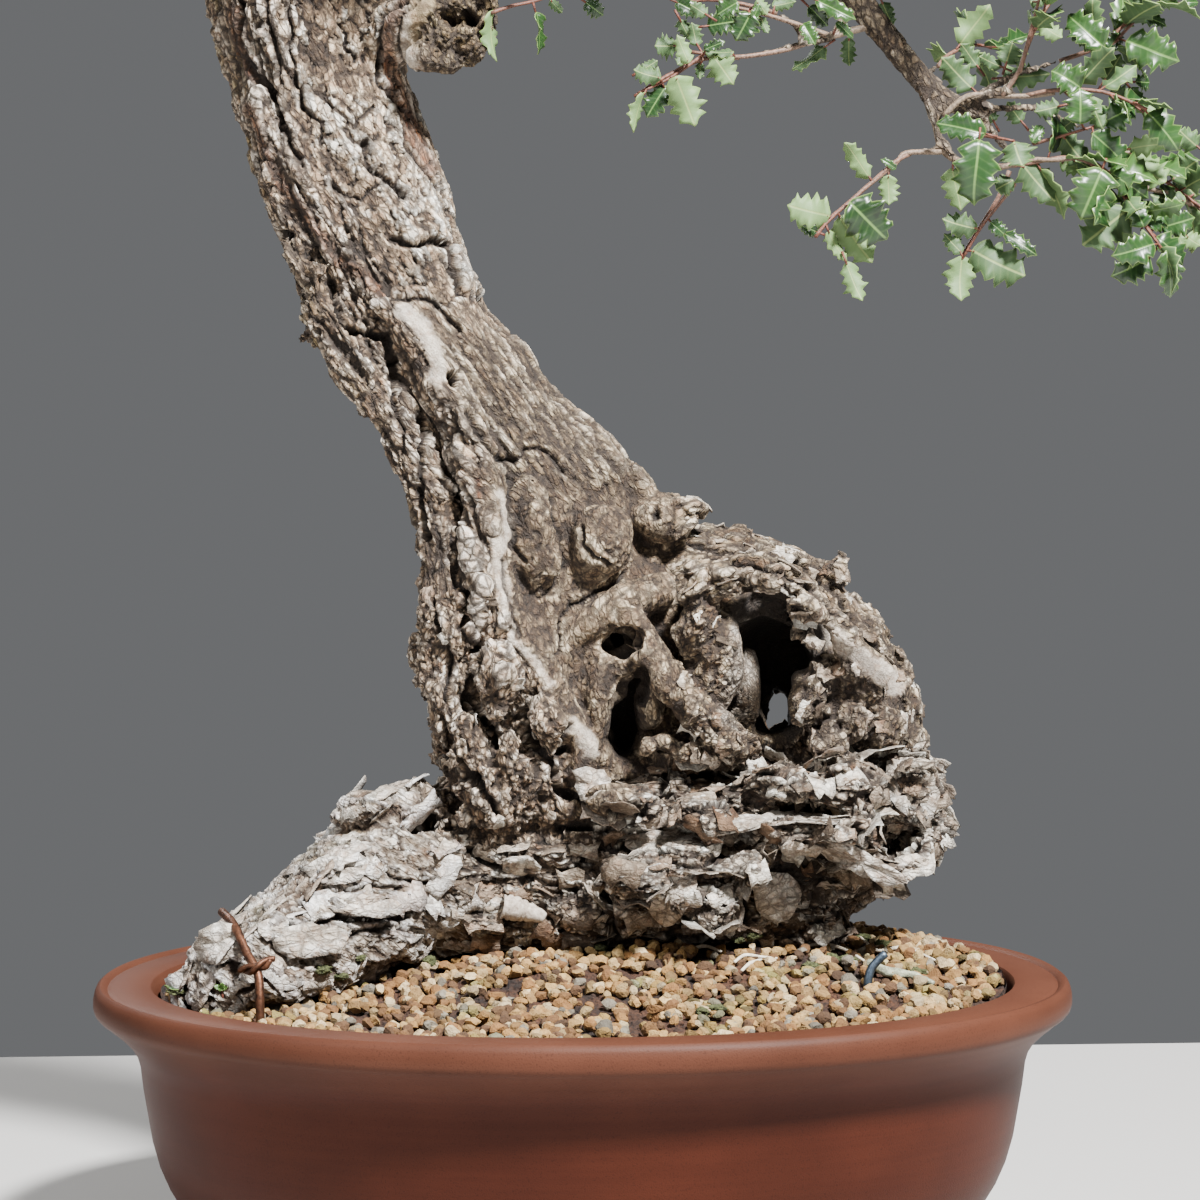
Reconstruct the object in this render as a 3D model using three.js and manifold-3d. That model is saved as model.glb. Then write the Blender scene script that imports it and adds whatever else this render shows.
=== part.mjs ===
// Portuguese oak bonsai in its oval unglazed pot.
// Millimetres, +Z up. The pot's feet stand on z = 0 and the front of the tree faces -Y.
import * as THREE from "three";
import { mergeVertices } from "three/addons/utils/BufferGeometryUtils.js";
import Module from "manifold-3d";

const wasm = await Module();
wasm.setup();

// Pot: an oval with straight-ish walls under a broad flat rim
const potHalfLength = 215;
const potHalfDepth = 160;
const ovalPower = 2.1;
const ovalSides = 34;
const rimHeight = 125;
const footHeight = 12;
const floorTop = 22;
const drainHoleRadius = 12;
const drainHoleX = 85;

// Soil fill, its top dressing of pumice, and the clearance between touching pieces
const cutOverrun = 8;
const seatGap = 0.35;
const wallGap = 0.7;
const fillTop = 112;
const dressingRimHeight = 121.5;
const moundHeight = 24;
const moundCentre = [35, 35];
const moundSpread = [140, 88];
const grainRelief = 1.6;

// The tree's buried foot stands in one plain oval hole
const footCentre = [24, 44];
const footHalfSize = [66, 30];
const footDepth = 62;
const footTop = 156;
const footSides = 14;

// Leaves and shoots; a leaf keeps this far from what isn't its own shoot
const leafLength = 25;
const leafHalfWidth = 6.2;
const leafThickness = 1.1;
const shootRadius = 1.9;
const leafTurn = THREE.MathUtils.degToRad(144);
const leafClearance = 11.5;
const ownLeafClearance = 4;
const woodClearance = 7;
const leavesPerShoot = 5;
const leafAttempts = 10;

const X = new THREE.Vector3(1, 0, 0);
const Y = new THREE.Vector3(0, 1, 0);
const Z = new THREE.Vector3(0, 0, 1);

const bonsai = new THREE.Group();
bonsai.name = "portuguese_oak_bonsai";

const colours = {
  clay: { color: 0x7c4028, roughness: 0.75 },
  soil: { color: 0x4a2f20, roughness: 0.95 },
  pumice: { color: 0xcdae7c, roughness: 0.9 },
  bark: { color: 0x9c9284, roughness: 0.9 },
  leaf: { color: 0x4f7a45, roughness: 0.4 },
  copper: { color: 0x7a4a36, roughness: 0.5, metalness: 0.6 },
  greyWire: { color: 0x4b5560, roughness: 0.5, metalness: 0.6 },
  mesh: { color: 0x22262a, roughness: 0.6 },
};

function addPiece(name, solid, finish) {
  const material = new THREE.MeshStandardMaterial({ ...colours[finish] });
  const mesh = new THREE.Mesh(geometryOf(solid), material);
  mesh.name = name;
  bonsai.add(mesh);
}

// Small seeded generator, so that every build gives the same tree
function seededRandom(seed) {
  let state = seed | 0;
  return () => {
    state = (state + 0x6d2b79f5) | 0;
    let t = Math.imul(state ^ (state >>> 15), 1 | state);
    t = (t + Math.imul(t ^ (t >>> 7), 61 | t)) ^ t;
    return ((t ^ (t >>> 14)) >>> 0) / 4294967296;
  };
}

// Closed solids

function signedVolume(points, faces) {
  let sum = 0;
  for (const [a, b, c] of faces) sum += points[a].dot(points[b].clone().cross(points[c]));
  return sum / 6;
}

function solidOf(points, faces) {
  const outward = signedVolume(points, faces) > 0;
  const geometry = new THREE.BufferGeometry();
  const coordinates = points.flatMap((p) => [p.x, p.y, p.z]);
  geometry.setAttribute("position", new THREE.Float32BufferAttribute(coordinates, 3));
  geometry.setIndex(faces.flatMap(([a, b, c]) => (outward ? [a, b, c] : [a, c, b])));
  return solidOfGeometry(geometry);
}

function solidOfGeometry(source) {
  const bare = source.clone();
  bare.deleteAttribute("normal");
  bare.deleteAttribute("uv");
  const merged = mergeVertices(bare, 1e-4);
  return new wasm.Manifold(
    new wasm.Mesh({
      numProp: 3,
      vertProperties: new Float32Array(merged.attributes.position.array),
      triVerts: new Uint32Array(merged.index.array),
    }),
  );
}

function geometryOf(solid) {
  const mesh = solid.getMesh();
  const geometry = new THREE.BufferGeometry();
  geometry.setAttribute("position", new THREE.BufferAttribute(new Float32Array(mesh.vertProperties), 3));
  geometry.setIndex(new THREE.BufferAttribute(new Uint32Array(mesh.triVerts), 1));
  geometry.computeVertexNormals();
  return geometry;
}

// The main body alone: a hollow that joining sealed is filled, and a loose scrap is dropped
function wholeOf(solid) {
  return solid.decompose().reduce((best, body) => (body.volume() > best.volume() ? body : best));
}

// A skin over rings of equally many points, closed by a fan at both ends
function loft(rings) {
  const sides = rings[0].length;
  const points = rings.flat();
  const faces = [];
  for (let i = 0; i + 1 < rings.length; i += 1) {
    for (let j = 0; j < sides; j += 1) {
      const a = i * sides + j;
      const b = i * sides + ((j + 1) % sides);
      faces.push([a, b, b + sides], [a, b + sides, a + sides]);
    }
  }
  for (const [first, flip] of [[0, true], [points.length - sides, false]]) {
    const middle = new THREE.Vector3();
    for (let j = 0; j < sides; j += 1) middle.addScaledVector(points[first + j], 1 / sides);
    const centre = points.push(middle) - 1;
    for (let j = 0; j < sides; j += 1) {
      const next = first + ((j + 1) % sides);
      faces.push(flip ? [centre, next, first + j] : [centre, first + j, next]);
    }
  }
  return solidOf(points, faces);
}

// The oval of the pot, drawn in by an inset from the rim's outer edge

function ovalAt(inset, turn, z) {
  const c = Math.cos(turn);
  const s = Math.sin(turn);
  const x = (potHalfLength - inset) * Math.sign(c) * Math.abs(c) ** (2 / ovalPower);
  const y = (potHalfDepth - inset) * Math.sign(s) * Math.abs(s) ** (2 / ovalPower);
  return new THREE.Vector3(x, y, z);
}

function ovalRing(inset, z) {
  return Array.from({ length: ovalSides }, (_, j) => ovalAt(inset, (2 * Math.PI * j) / ovalSides, z));
}

// Inset and height of the pot's skin, from under the belly, over the rim and down to the floor
const potOutside = [
  [72, 12], [50, 17], [37, 29], [28, 47], [23, 70], [20, 91], [16, 101], [4, 112], [0, 116], [0.6, 123],
  [3, 126], [6.2, 124.2], [8, rimHeight],
];
const potInside = [
  [25, rimHeight], [26.6, 122], [31, 108], [33.5, 72], [41, 38], [56, 24], [74, floorTop],
];

// Where the four feet start and end round the oval, in degrees, and how far in they stand
const footSpans = [[28, 56], [124, 152], [208, 236], [304, 332]];
const footOuterInset = { top: 55, sole: 63 };
const footInnerInset = { top: 84, sole: 81 };
const footEndTaper = 3;
const footOverlap = 6;

// Inset of the inner wall at a height, so that what fills the pot can follow it
function wallInset(z) {
  for (let i = 1; i + 1 < potInside.length; i += 1) {
    const [upper, lower] = [potInside[i], potInside[i + 1]];
    if (z <= upper[1] && z >= lower[1]) {
      const share = (upper[1] - z) / (upper[1] - lower[1]);
      return upper[0] + share * (lower[0] - upper[0]);
    }
  }
  return potInside[1][0];
}

// A foot is a short curved bar under the belly, tapered to a flat sole
function potFoot(fromTurn, toTurn) {
  const steps = 3;
  const top = footHeight + footOverlap;
  const rings = Array.from({ length: steps + 1 }, (_, i) => {
    const turn = THREE.MathUtils.degToRad(fromTurn + ((toTurn - fromTurn) * i) / steps);
    const taper = footEndTaper * Math.cos((Math.PI * i) / steps) ** 2;
    return [
      ovalAt(footOuterInset.top + taper, turn, top),
      ovalAt(footOuterInset.sole + taper, turn, 0),
      ovalAt(footInnerInset.sole - taper, turn, 0),
      ovalAt(footInnerInset.top - taper, turn, top),
    ];
  });
  return loft(rings);
}

function upright(x, y, radius, bottom, top, sides = 16) {
  const geometry = new THREE.CylinderGeometry(radius, radius, top - bottom, sides);
  geometry.rotateX(Math.PI / 2);
  geometry.translate(x, y, (bottom + top) / 2);
  return solidOfGeometry(geometry);
}

function makePot() {
  const rings = [...potOutside, ...potInside].map(([inset, z]) => ovalRing(inset, z));
  let pot = loft(rings);
  for (const [from, to] of footSpans) pot = pot.add(potFoot(from, to));
  for (const side of [-1, 1]) {
    const [bottom, top] = [footHeight - cutOverrun, floorTop + cutOverrun];
    pot = pot.subtract(upright(side * drainHoleX, 0, drainHoleRadius, bottom, top));
  }
  return pot;
}

// A square screen with four openings lies over each drainage hole, in a pocket under the soil
const screenSize = 34;
const screenThickness = 1.6;
const screenOpening = 8;
const screenPitch = 14;
const pocketClearance = 2;

function block(x, y, z, width, depth, height) {
  const geometry = new THREE.BoxGeometry(width, depth, height);
  geometry.translate(x, y, z + height / 2);
  return solidOfGeometry(geometry);
}

function makeScreen(x) {
  const bottom = floorTop + seatGap;
  let screen = block(x, 0, bottom, screenSize, screenSize, screenThickness);
  const height = screenThickness + 2 * cutOverrun;
  for (const dx of [-screenPitch / 2, screenPitch / 2]) {
    for (const dy of [-screenPitch / 2, screenPitch / 2]) {
      screen = screen.subtract(block(x + dx, dy, bottom - cutOverrun, screenOpening, screenOpening, height));
    }
  }
  return screen;
}

// The top of the planting: a low mound that falls to just under the rim

function moundAt(x, y) {
  const u = (x - moundCentre[0]) / moundSpread[0];
  const v = (y - moundCentre[1]) / moundSpread[1];
  return dressingRimHeight + moundHeight * Math.exp(-(u * u + v * v));
}

const dressingRings = 7;
const dressingTop = rimHeight + 60;

// Rings of the mound's surface from its edge inwards, each point lifted or sunk like a coarse grain
function moundRings(lift) {
  const random = seededRandom(41);
  const rings = [];
  for (let i = 0; i < dressingRings; i += 1) {
    const share = 1 - i / dressingRings;
    const ring = ovalRing(wallInset(dressingRimHeight) + wallGap, 0).map((p) => {
      const x = p.x * share;
      const y = p.y * share;
      const grain = i === 0 ? 0 : grainRelief * (2 * random() - 1);
      return new THREE.Vector3(x, y, moundAt(x, y) + grain + lift);
    });
    rings.push(ring);
  }
  return rings;
}

function footPrism(clearance, bottom, top) {
  const ring = (z) =>
    Array.from({ length: footSides }, (_, j) => {
      const turn = (2 * Math.PI * j) / footSides;
      const x = footCentre[0] + (footHalfSize[0] + clearance) * Math.cos(turn);
      const y = footCentre[1] + (footHalfSize[1] + clearance) * Math.sin(turn);
      return new THREE.Vector3(x, y, z);
    });
  return loft([ring(bottom), ring(top)]);
}

function makeDressing() {
  const bottom = ovalRing(wallInset(fillTop) + wallGap, fillTop + seatGap);
  return loft([bottom, ...moundRings(0)]).subtract(footPrism(seatGap, footDepth, dressingTop));
}

function makeSoil() {
  const levels = potInside.map(([, z]) => z).filter((z) => z < fillTop && z > floorTop);
  const top = ovalRing(wallInset(fillTop) + wallGap, fillTop);
  const sides = levels.map((z) => ovalRing(wallInset(z) + wallGap, z + seatGap));
  const bottom = ovalRing(wallInset(floorTop) + 4 * wallGap, floorTop + seatGap);
  const hole = footPrism(seatGap, footDepth - seatGap, fillTop + cutOverrun);
  let soil = loft([top, ...sides, bottom]).subtract(hole);
  const pocketTop = floorTop + screenThickness + pocketClearance / 2;
  const pocketSize = screenSize + pocketClearance;
  for (const side of [-1, 1]) {
    const pocket = block(side * drainHoleX, 0, 0, pocketSize, pocketSize, pocketTop);
    soil = soil.subtract(pocket);
  }
  return soil;
}

// Everything under the mound's surface, a little proud of it and past the rim, to trim the tree's foot
const trimOverhang = 60;

function underMound() {
  const bottom = ovalRing(-trimOverhang, 0);
  const skirt = ovalRing(-trimOverhang, dressingRimHeight + seatGap);
  return loft([bottom, skirt, ...moundRings(seatGap + 0.05)]);
}

// Limbs: a section swept along stations of [x, y, z, half width, half depth]

function pathVectors(path) {
  return path.map(([x, y, z]) => new THREE.Vector3(x, y, z));
}

function sectionFrame(tangent, depthAxis) {
  const depth = depthAxis.clone().addScaledVector(tangent, -depthAxis.dot(tangent)).normalize();
  const width = new THREE.Vector3().crossVectors(depth, tangent).normalize();
  return { width, depth };
}

function limb(stations, options = {}) {
  const { sides = 12, rough = 0, seed = 1, squareness = 2, depthAxis = Y, firstWay, lastWay } = options;
  const random = seededRandom(seed);
  const curve = new THREE.CatmullRomCurve3(pathVectors(stations));
  const rings = stations.map(([, , , halfWidth, halfDepth], i) => {
    const at = i / (stations.length - 1);
    const middle = curve.getPoint(at);
    const tangent = (at === 0 && firstWay) || (at === 1 && lastWay) || curve.getTangent(at);
    const { width, depth } = sectionFrame(tangent, depthAxis);
    return Array.from({ length: sides }, (_, j) => {
      const turn = (2 * Math.PI * (j + 0.5)) / sides;
      const c = Math.cos(turn);
      const s = Math.sin(turn);
      const bulge = 1 + rough * (2 * random() - 1);
      const w = halfWidth * bulge * Math.sign(c) * Math.abs(c) ** (2 / squareness);
      const d = halfDepth * bulge * Math.sign(s) * Math.abs(s) ** (2 / squareness);
      return middle.clone().addScaledVector(width, w).addScaledVector(depth, d);
    });
  });
  return loft(rings);
}

// A lump of bark, burr or callus: a low ball with an uneven skin
function lump([x, y, z], [rx, ry, rz], rough, seed) {
  const random = seededRandom(seed);
  const ball = new THREE.IcosahedronGeometry(1, 1);
  ball.deleteAttribute("normal");
  ball.deleteAttribute("uv");
  const geometry = mergeVertices(ball, 1e-4);
  const position = geometry.attributes.position;
  for (let i = 0; i < position.count; i += 1) {
    const bulge = 1 + rough * (2 * random() - 1);
    const [u, v, w] = [position.getX(i) * bulge, position.getY(i) * bulge, position.getZ(i) * bulge];
    position.setXYZ(i, x + u * rx, y + v * ry, z + w * rz);
  }
  return solidOfGeometry(geometry);
}

// Trunk, from inside the base up to the apex: it rises straight, leans left and turns up again
const trunkStations = [
  [-12, 44, 132, 58, 44], [-15, 43, 200, 58, 46], [-18, 42, 250, 56, 46], [-19, 42, 292, 55, 45],
  [-23, 42, 335, 50, 43], [-50, 41, 380, 40, 39], [-79.5, 40, 425, 38.5, 37], [-99.5, 40, 470, 40, 37],
  [-112.5, 40, 514, 42, 38], [-121, 40, 558, 45, 40], [-127, 40, 600, 42, 38], [-124, 39, 637, 34, 31],
  [-112, 37, 677, 26, 25], [-94, 35, 713, 19, 18], [-76, 32, 746, 13, 13], [-63, 30, 772, 8, 8],
  [-55, 28, 790, 4.5, 4.5],
];

// The old base lies to the right of the trunk, along the soil, in sections of half height and depth
const baseStations = [
  [-72, 34, 160, 22, 24], [-44, 38, 164, 42, 44], [0, 42, 168, 52, 50], [42, 42, 170, 56, 51],
  [80, 43, 172, 53, 49], [112, 43, 178, 46, 46], [138, 42, 190, 38, 41], [157, 41, 194, 30, 33],
  [169, 41, 190, 17, 18],
];

// Over it stands a hollow dome of old wood, which springs from the trunk's right shoulder
const domeStations = [
  [14, 45, 270, 52, 36], [40, 46, 271, 55, 37], [66, 46, 268, 57, 37], [92, 46, 260, 58, 37],
  [116, 45, 248, 53, 36], [136, 44, 236, 43, 34], [151, 43, 224, 30, 29], [158, 42, 214, 20, 20],
];

// The great surface root runs left and forward, over the soil to the pot's edge
const rootStations = [
  [-20, 40, 168, 40, 40], [-52, 30, 166, 35, 38], [-75, 18, 170, 37, 34], [-94, 6, 166, 37, 32],
  [-112, -6, 158, 35, 30], [-129, -18, 146, 29, 31], [-150, -32, 136, 24, 30], [-165, -38, 128, 20, 20],
  [-174, -42, 124, 12, 9],
];

// The hollow opens to the front and narrows to the right; a gap in its back wall lets light through
const hollow = [
  [82, -8, 257, 36, 28], [84, 12, 257, 34, 28], [88, 30, 258, 29, 26], [94, 48, 260, 23, 22],
  [99, 62, 262, 14, 14],
];
const backGap = [[95, 26, 238, 11, 11], [96, 66, 235, 9, 13], [97, 112, 233, 11, 15]];
const darkPocket = { at: [17, -4, 248], size: [13, 38, 29] };

// A thin root crosses the hollow's left lip
const crossingRoot = [
  [14, 12, 294, 9, 9], [24, 3, 277, 8, 8], [40, -3, 254, 7.5, 7.5], [56, -4, 238, 8, 8],
  [74, 0, 224, 8, 8],
];

// Ridges that stand out of the trunk's front: the pale edge of the main one and the rough strip beside it
const frontRidges = [
  [[-84, 6, 424, 7, 8], [-66, 3, 396, 10, 9], [-50, -1, 368, 10, 9], [-41, -3, 336, 11, 9],
    [-42, -4, 300, 13, 10], [-26, -5, 268, 13, 10], [-12, -5, 236, 14, 10], [-6, -4, 196, 16, 11]],
  [[-148, 28, 545, 9, 10], [-136, 18, 500, 10, 11], [-124, 14, 458, 11, 11], [-104, 10, 414, 11, 11],
    [-82, 8, 372, 11, 11], [-66, 4, 330, 12, 12], [-62, 2, 284, 13, 12], [-56, 2, 236, 15, 12]],
];

// Knobs, calluses and the burr high on the right
const lumps = [
  [[-22, -2, 320], [10, 9, 22]], [[8, 1, 318], [15, 10, 18]], [[-64, 18, 546], [25, 20, 20]],
  [[-36, -6, 210], [20, 13, 20]], [[62, -5, 196], [24, 12, 17]], [[-64, -2, 246], [13, 12, 18]],
  [[122, 2, 208], [17, 14, 17]], [[10, -6, 158], [24, 11, 16]], [[54, 88, 186], [28, 14, 24]],
];

// The first branch arches over to the right, droops and ends in an old cut
const firstBranch = [
  [-104, 38, 572, 18, 18], [-66, 27, 600, 15, 15], [-20, 15, 610, 12.5, 12.5], [32, 5, 604, 10.5, 10.5],
  [78, -2, 586, 8.6, 8.6], [104, -5, 568, 7.6, 7.6], [120, -6, 553, 6.8, 6.8], [129, -8, 541, 6.4, 6.4],
  [145, -10, 521, 6, 6], [159, -12, 509, 5, 5], [175, -14, 503, 4.4, 4.4],
];

// The other branches of the crown: path, radius where it starts and ends, and how many shoots it bears
const crownBranches = [
  { path: [[-134, 40, 590], [-176, 30, 622], [-222, 18, 634], [-262, 8, 626]], from: 13, to: 4, shoots: 4 },
  { path: [[-120, 50, 612], [-116, 92, 642], [-124, 136, 652], [-140, 172, 644]], from: 11, to: 4,
    shoots: 2 },
  { path: [[-112, 50, 650], [-62, 84, 676], [-8, 116, 682], [40, 138, 672]], from: 10, to: 3.6, shoots: 3 },
  { path: [[-112, 30, 660], [-108, -8, 682], [-116, -52, 690], [-126, -88, 682]], from: 9, to: 3.6,
    shoots: 3 },
  { path: [[-100, 36, 690], [-52, 28, 714], [4, 18, 720], [56, 10, 708]], from: 8.5, to: 3.4, shoots: 2 },
  { path: [[-108, 38, 686], [-148, 46, 716], [-188, 56, 726]], from: 8, to: 3.4, shoots: 2 },
  { path: [[-30, 17, 609], [2, -18, 634], [30, -50, 640]], from: 6.5, to: 3.2, shoots: 2 },
  { path: [[40, 4, 602], [88, 34, 626], [136, 56, 628], [176, 70, 612]], from: 6.5, to: 3.2, shoots: 3 },
  { path: [[70, -1, 590], [122, -2, 606], [176, -4, 602], [224, -4, 584]], from: 6, to: 3, shoots: 2 },
  { path: [[-60, 30, 774], [-36, 18, 788], [-14, 6, 790]], from: 5.5, to: 3, shoots: 1 },
  { path: [[-64, 30, 768], [-88, 48, 788], [-108, 62, 792]], from: 5.5, to: 3, shoots: 1 },
  { path: [[-56, 28, 788], [-52, 24, 806]], from: 4.4, to: 3, shoots: 1 },
];

// Twigs of the first branch that hang in front, each ending at a leafy shoot
const hangingTwigs = [
  {
    wood: [[143, -11, 523], [152, -15, 500], [154, -17, 489], [140, -21, 486]],
    shoot: [[133, -25, 482], [119, -27, 470], [104, -32, 457], [97, -34, 449]],
  },
  {
    wood: [[153, -16, 494], [160, -19, 484], [168, -21, 481]],
    shoot: [[186, -23, 481], [212, -26, 484], [230, -30, 470], [246, -35, 446]],
  },
  {
    wood: [[152, -14, 503], [165, -19, 511], [190, -22, 511]],
    shoot: [[202, -26, 513], [222, -30, 512], [240, -36, 504]],
  },
  {
    wood: [[172, -20, 511], [182, -22, 514], [187, -23, 521]],
    shoot: [[191, -24, 534], [198, -24, 548], [208, -22, 560]],
  },
  {
    wood: [[170, -14, 504], [184, -8, 490], [186, -8, 480]],
    shoot: [[181, -7, 468], [173, -6, 455], [164, -4, 440]],
  },
  {
    wood: [[166, -13, 506], [198, -4, 508], [224, 0, 498]],
    shoot: [[240, 2, 488], [258, 0, 476], [276, -4, 462]],
  },
  {
    wood: [[164, -12, 508], [188, -4, 522], [208, -6, 528]],
    shoot: [[224, -10, 534], [238, -14, 546], [250, -18, 560]],
  },
  {
    wood: [[150, -10, 516], [152, 4, 524], [158, 14, 528]],
    shoot: [[164, 24, 534], [176, 34, 540], [190, 42, 540]],
  },
  {
    wood: [[118, -7, 553], [106, -12, 536], [97, -15, 534], [66, -18, 527]],
    shoot: [[50, -20, 526], [34, -24, 518], [20, -28, 509]],
  },
  {
    wood: [[96, -14, 534], [92, -8, 542], [84, -4, 548]],
    shoot: [[70, -2, 552], [54, -2, 554], [40, 0, 552]],
  },
  {
    wood: [[-52, 10, 552], [-44, 2, 556]],
    shoot: [[-30, -2, 557], [-16, -6, 562], [0, -10, 572]],
  },
];

function taperedStations(path, from, to) {
  return path.map(([x, y, z], i) => {
    const radius = from + ((to - from) * i) / (path.length - 1);
    return [x, y, z, radius, radius];
  });
}

// A branch's point and direction at a share of its path
function alongPath(path, share) {
  const scaled = share * (path.length - 1);
  const span = Math.min(path.length - 2, Math.floor(scaled));
  const [from, to] = [path[span], path[span + 1]];
  const at = from.clone().lerp(to, scaled - span);
  return { at, heading: to.clone().sub(from).normalize() };
}

// Shoots leave a crown branch left and right in turn, and the last one carries on from its end
const twigLength = 22;
const twigEndRadius = 2.1;
const twigTaper = 1.3;
const shootLength = 46;

function seatShoots() {
  const random = seededRandom(7);
  const seats = [];
  for (const branch of crownBranches) {
    const path = pathVectors(branch.path);
    for (let k = 0; k < branch.shoots; k += 1) {
      const last = k === branch.shoots - 1;
      const share = last ? 1 : 0.45 + (0.5 * k) / branch.shoots;
      const { at, heading } = alongPath(path, share);
      const level = new THREE.Vector3(-heading.y, heading.x, 0).normalize().multiplyScalar(k % 2 ? 1 : -1);
      const spread = last ? 0.15 : 0.95 + 0.25 * random();
      const rise = 0.25 + 0.35 * random();
      const way = heading.clone().multiplyScalar(last ? 1 : 0.5).addScaledVector(level, spread);
      way.addScaledVector(Z, rise).normalize();
      const reach = last ? twigLength * 0.7 : twigLength * (1 + 0.5 * random());
      const end = at.clone().addScaledVector(way, reach);
      const sweep = shootLength + 12 * random();
      const droop = new THREE.Vector3(0, 0, -4 - 10 * random());
      const middle = end.clone().addScaledVector(way, sweep * 0.5);
      const tip = end.clone().addScaledVector(way, sweep).add(droop);
      seats.push({ wood: [at, end], shoot: [end, middle, tip] });
    }
  }
  for (const twig of hangingTwigs) {
    const wood = pathVectors(twig.wood);
    seats.push({ wood, shoot: [wood[wood.length - 1], ...pathVectors(twig.shoot)] });
  }
  return seats;
}

function twigLimb(wood) {
  const stations = wood.map((p, i) => {
    const radius = twigEndRadius + twigTaper * (1 - i / (wood.length - 1));
    return [p.x, p.y, p.z, radius, radius];
  });
  return limb(stations, { sides: 4, depthAxis: steadyAxis(wood), lastWay: endWay(wood) });
}

// The way a twig points where it ends, at right angles to its cut face
function endWay(wood) {
  return wood[wood.length - 1].clone().sub(wood[wood.length - 2]).normalize();
}

// An axis that never lies along the path, to hold its sections upright
function steadyAxis(path) {
  const way = path[path.length - 1].clone().sub(path[0]).normalize();
  return Math.abs(way.y) < 0.6 ? Y : X;
}

function makeTree(seats) {
  let base = limb(baseStations, { sides: 16, rough: 0.08, seed: 11, squareness: 2.6 });
  base = base.add(limb(rootStations, { sides: 11, rough: 0.09, seed: 12, squareness: 2.4 }));
  base = base.add(limb(domeStations, { sides: 16, rough: 0.05, seed: 13, squareness: 2.3 }));
  let tree = limb(trunkStations, { sides: 14, rough: 0.035, seed: 16 }).add(base);
  frontRidges.forEach((ridge, i) => {
    tree = tree.add(limb(ridge, { sides: 6, rough: 0.12, seed: 20 + i }));
  });
  lumps.forEach(([at, size], i) => {
    tree = tree.add(lump(at, size, 0.16, 30 + i));
  });
  tree = tree.subtract(lump(darkPocket.at, darkPocket.size, 0.08, 70));
  tree = tree.subtract(limb(hollow, { sides: 10, rough: 0.05, seed: 17, depthAxis: Z }));
  tree = tree.subtract(limb(backGap, { sides: 7, depthAxis: Z }));
  tree = tree.add(limb(crossingRoot, { sides: 7, rough: 0.05, seed: 18 }));
  tree = tree.subtract(underMound()).add(footPrism(0, footDepth, footTop));
  tree = tree.add(limb(firstBranch, { sides: 7, rough: 0.06, seed: 19 }));
  crownBranches.forEach(({ path, from, to }, i) => {
    const depthAxis = steadyAxis(pathVectors(path));
    const stations = taperedStations(path, from, to);
    tree = tree.add(limb(stations, { sides: 5, rough: 0.05, seed: 50 + i, depthAxis }));
  });
  for (const seat of seats) tree = tree.add(twigLimb(seat.wood));
  return tree;
}

// Leaves: a spiny-toothed blade that springs from an upright root and folds a little along its midrib
const leafTeeth = [[0.3, 0.94], [0.48, 0.68], [0.68, 1]];
const leafDroop = 0.18;

function leafSolid(root, way, face, length) {
  const side = new THREE.Vector3().crossVectors(face, way).normalize();
  const up = new THREE.Vector3().crossVectors(way, side).normalize();
  const place = (along, across, rise) =>
    root.clone().addScaledVector(way, along).addScaledVector(side, across).addScaledVector(up, rise);
  const halfWidth = leafHalfWidth * (length / leafLength);
  const half = leafThickness / 2;
  const droop = -leafDroop * halfWidth;
  const edge = (sign) => leafTeeth.map(([along, across]) =>
    place(along * length, sign * across * halfWidth, across * droop));
  const points = [place(0, 0, half), place(0, 0, -half), ...edge(1), place(length, 0, droop)];
  points.push(...edge(-1).reverse());
  const last = points.length - 1;
  const upper = points.push(place(length * 0.5, 0, half)) - 1;
  const lower = points.push(place(length * 0.5, 0, -half)) - 1;
  const faces = [[0, 1, 2], [0, last, 1]];
  faces.push([upper, 0, 2], [upper, last, 0], [lower, 2, 1], [lower, 1, last]);
  for (let j = 2; j < last; j += 1) faces.push([upper, j, j + 1], [lower, j + 1, j]);
  return solidOf(points, faces);
}

// Least distance between two straight stretches, to keep leaves clear of wood and of each other
function stretchGap([p, q], [r, s]) {
  const d1 = q.clone().sub(p);
  const d2 = s.clone().sub(r);
  const between = p.clone().sub(r);
  const a = d1.dot(d1);
  const e = d2.dot(d2);
  const f = d2.dot(between);
  const c = d1.dot(between);
  const b = d1.dot(d2);
  const spread = a * e - b * b;
  let t1 = spread > 1e-9 ? THREE.MathUtils.clamp((b * f - c * e) / spread, 0, 1) : 0;
  let t2 = (b * t1 + f) / e;
  if (t2 < 0) {
    t2 = 0;
    t1 = THREE.MathUtils.clamp(-c / a, 0, 1);
  } else if (t2 > 1) {
    t2 = 1;
    t1 = THREE.MathUtils.clamp((b - c) / a, 0, 1);
  }
  return p.clone().addScaledVector(d1, t1).distanceTo(r.clone().addScaledVector(d2, t2));
}

// Wood as straight stretches with a radius, for the same purpose
function woodStretches(seats) {
  const list = [];
  const addAll = (stations) => {
    for (let i = 0; i + 1 < stations.length; i += 1) {
      const ends = pathVectors([stations[i].slice(0, 3), stations[i + 1].slice(0, 3)]);
      list.push({ ends, radius: Math.max(stations[i][3], stations[i][4]) });
    }
  };
  addAll(trunkStations);
  addAll(firstBranch);
  for (const { path, from, to } of crownBranches) addAll(taperedStations(path, from, to));
  for (const { wood } of seats) {
    for (let i = 0; i + 1 < wood.length; i += 1) list.push({ ends: [wood[i], wood[i + 1]], radius: 3 });
  }
  return list;
}

const crownHeart = new THREE.Vector3(-60, 60, 640);

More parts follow.
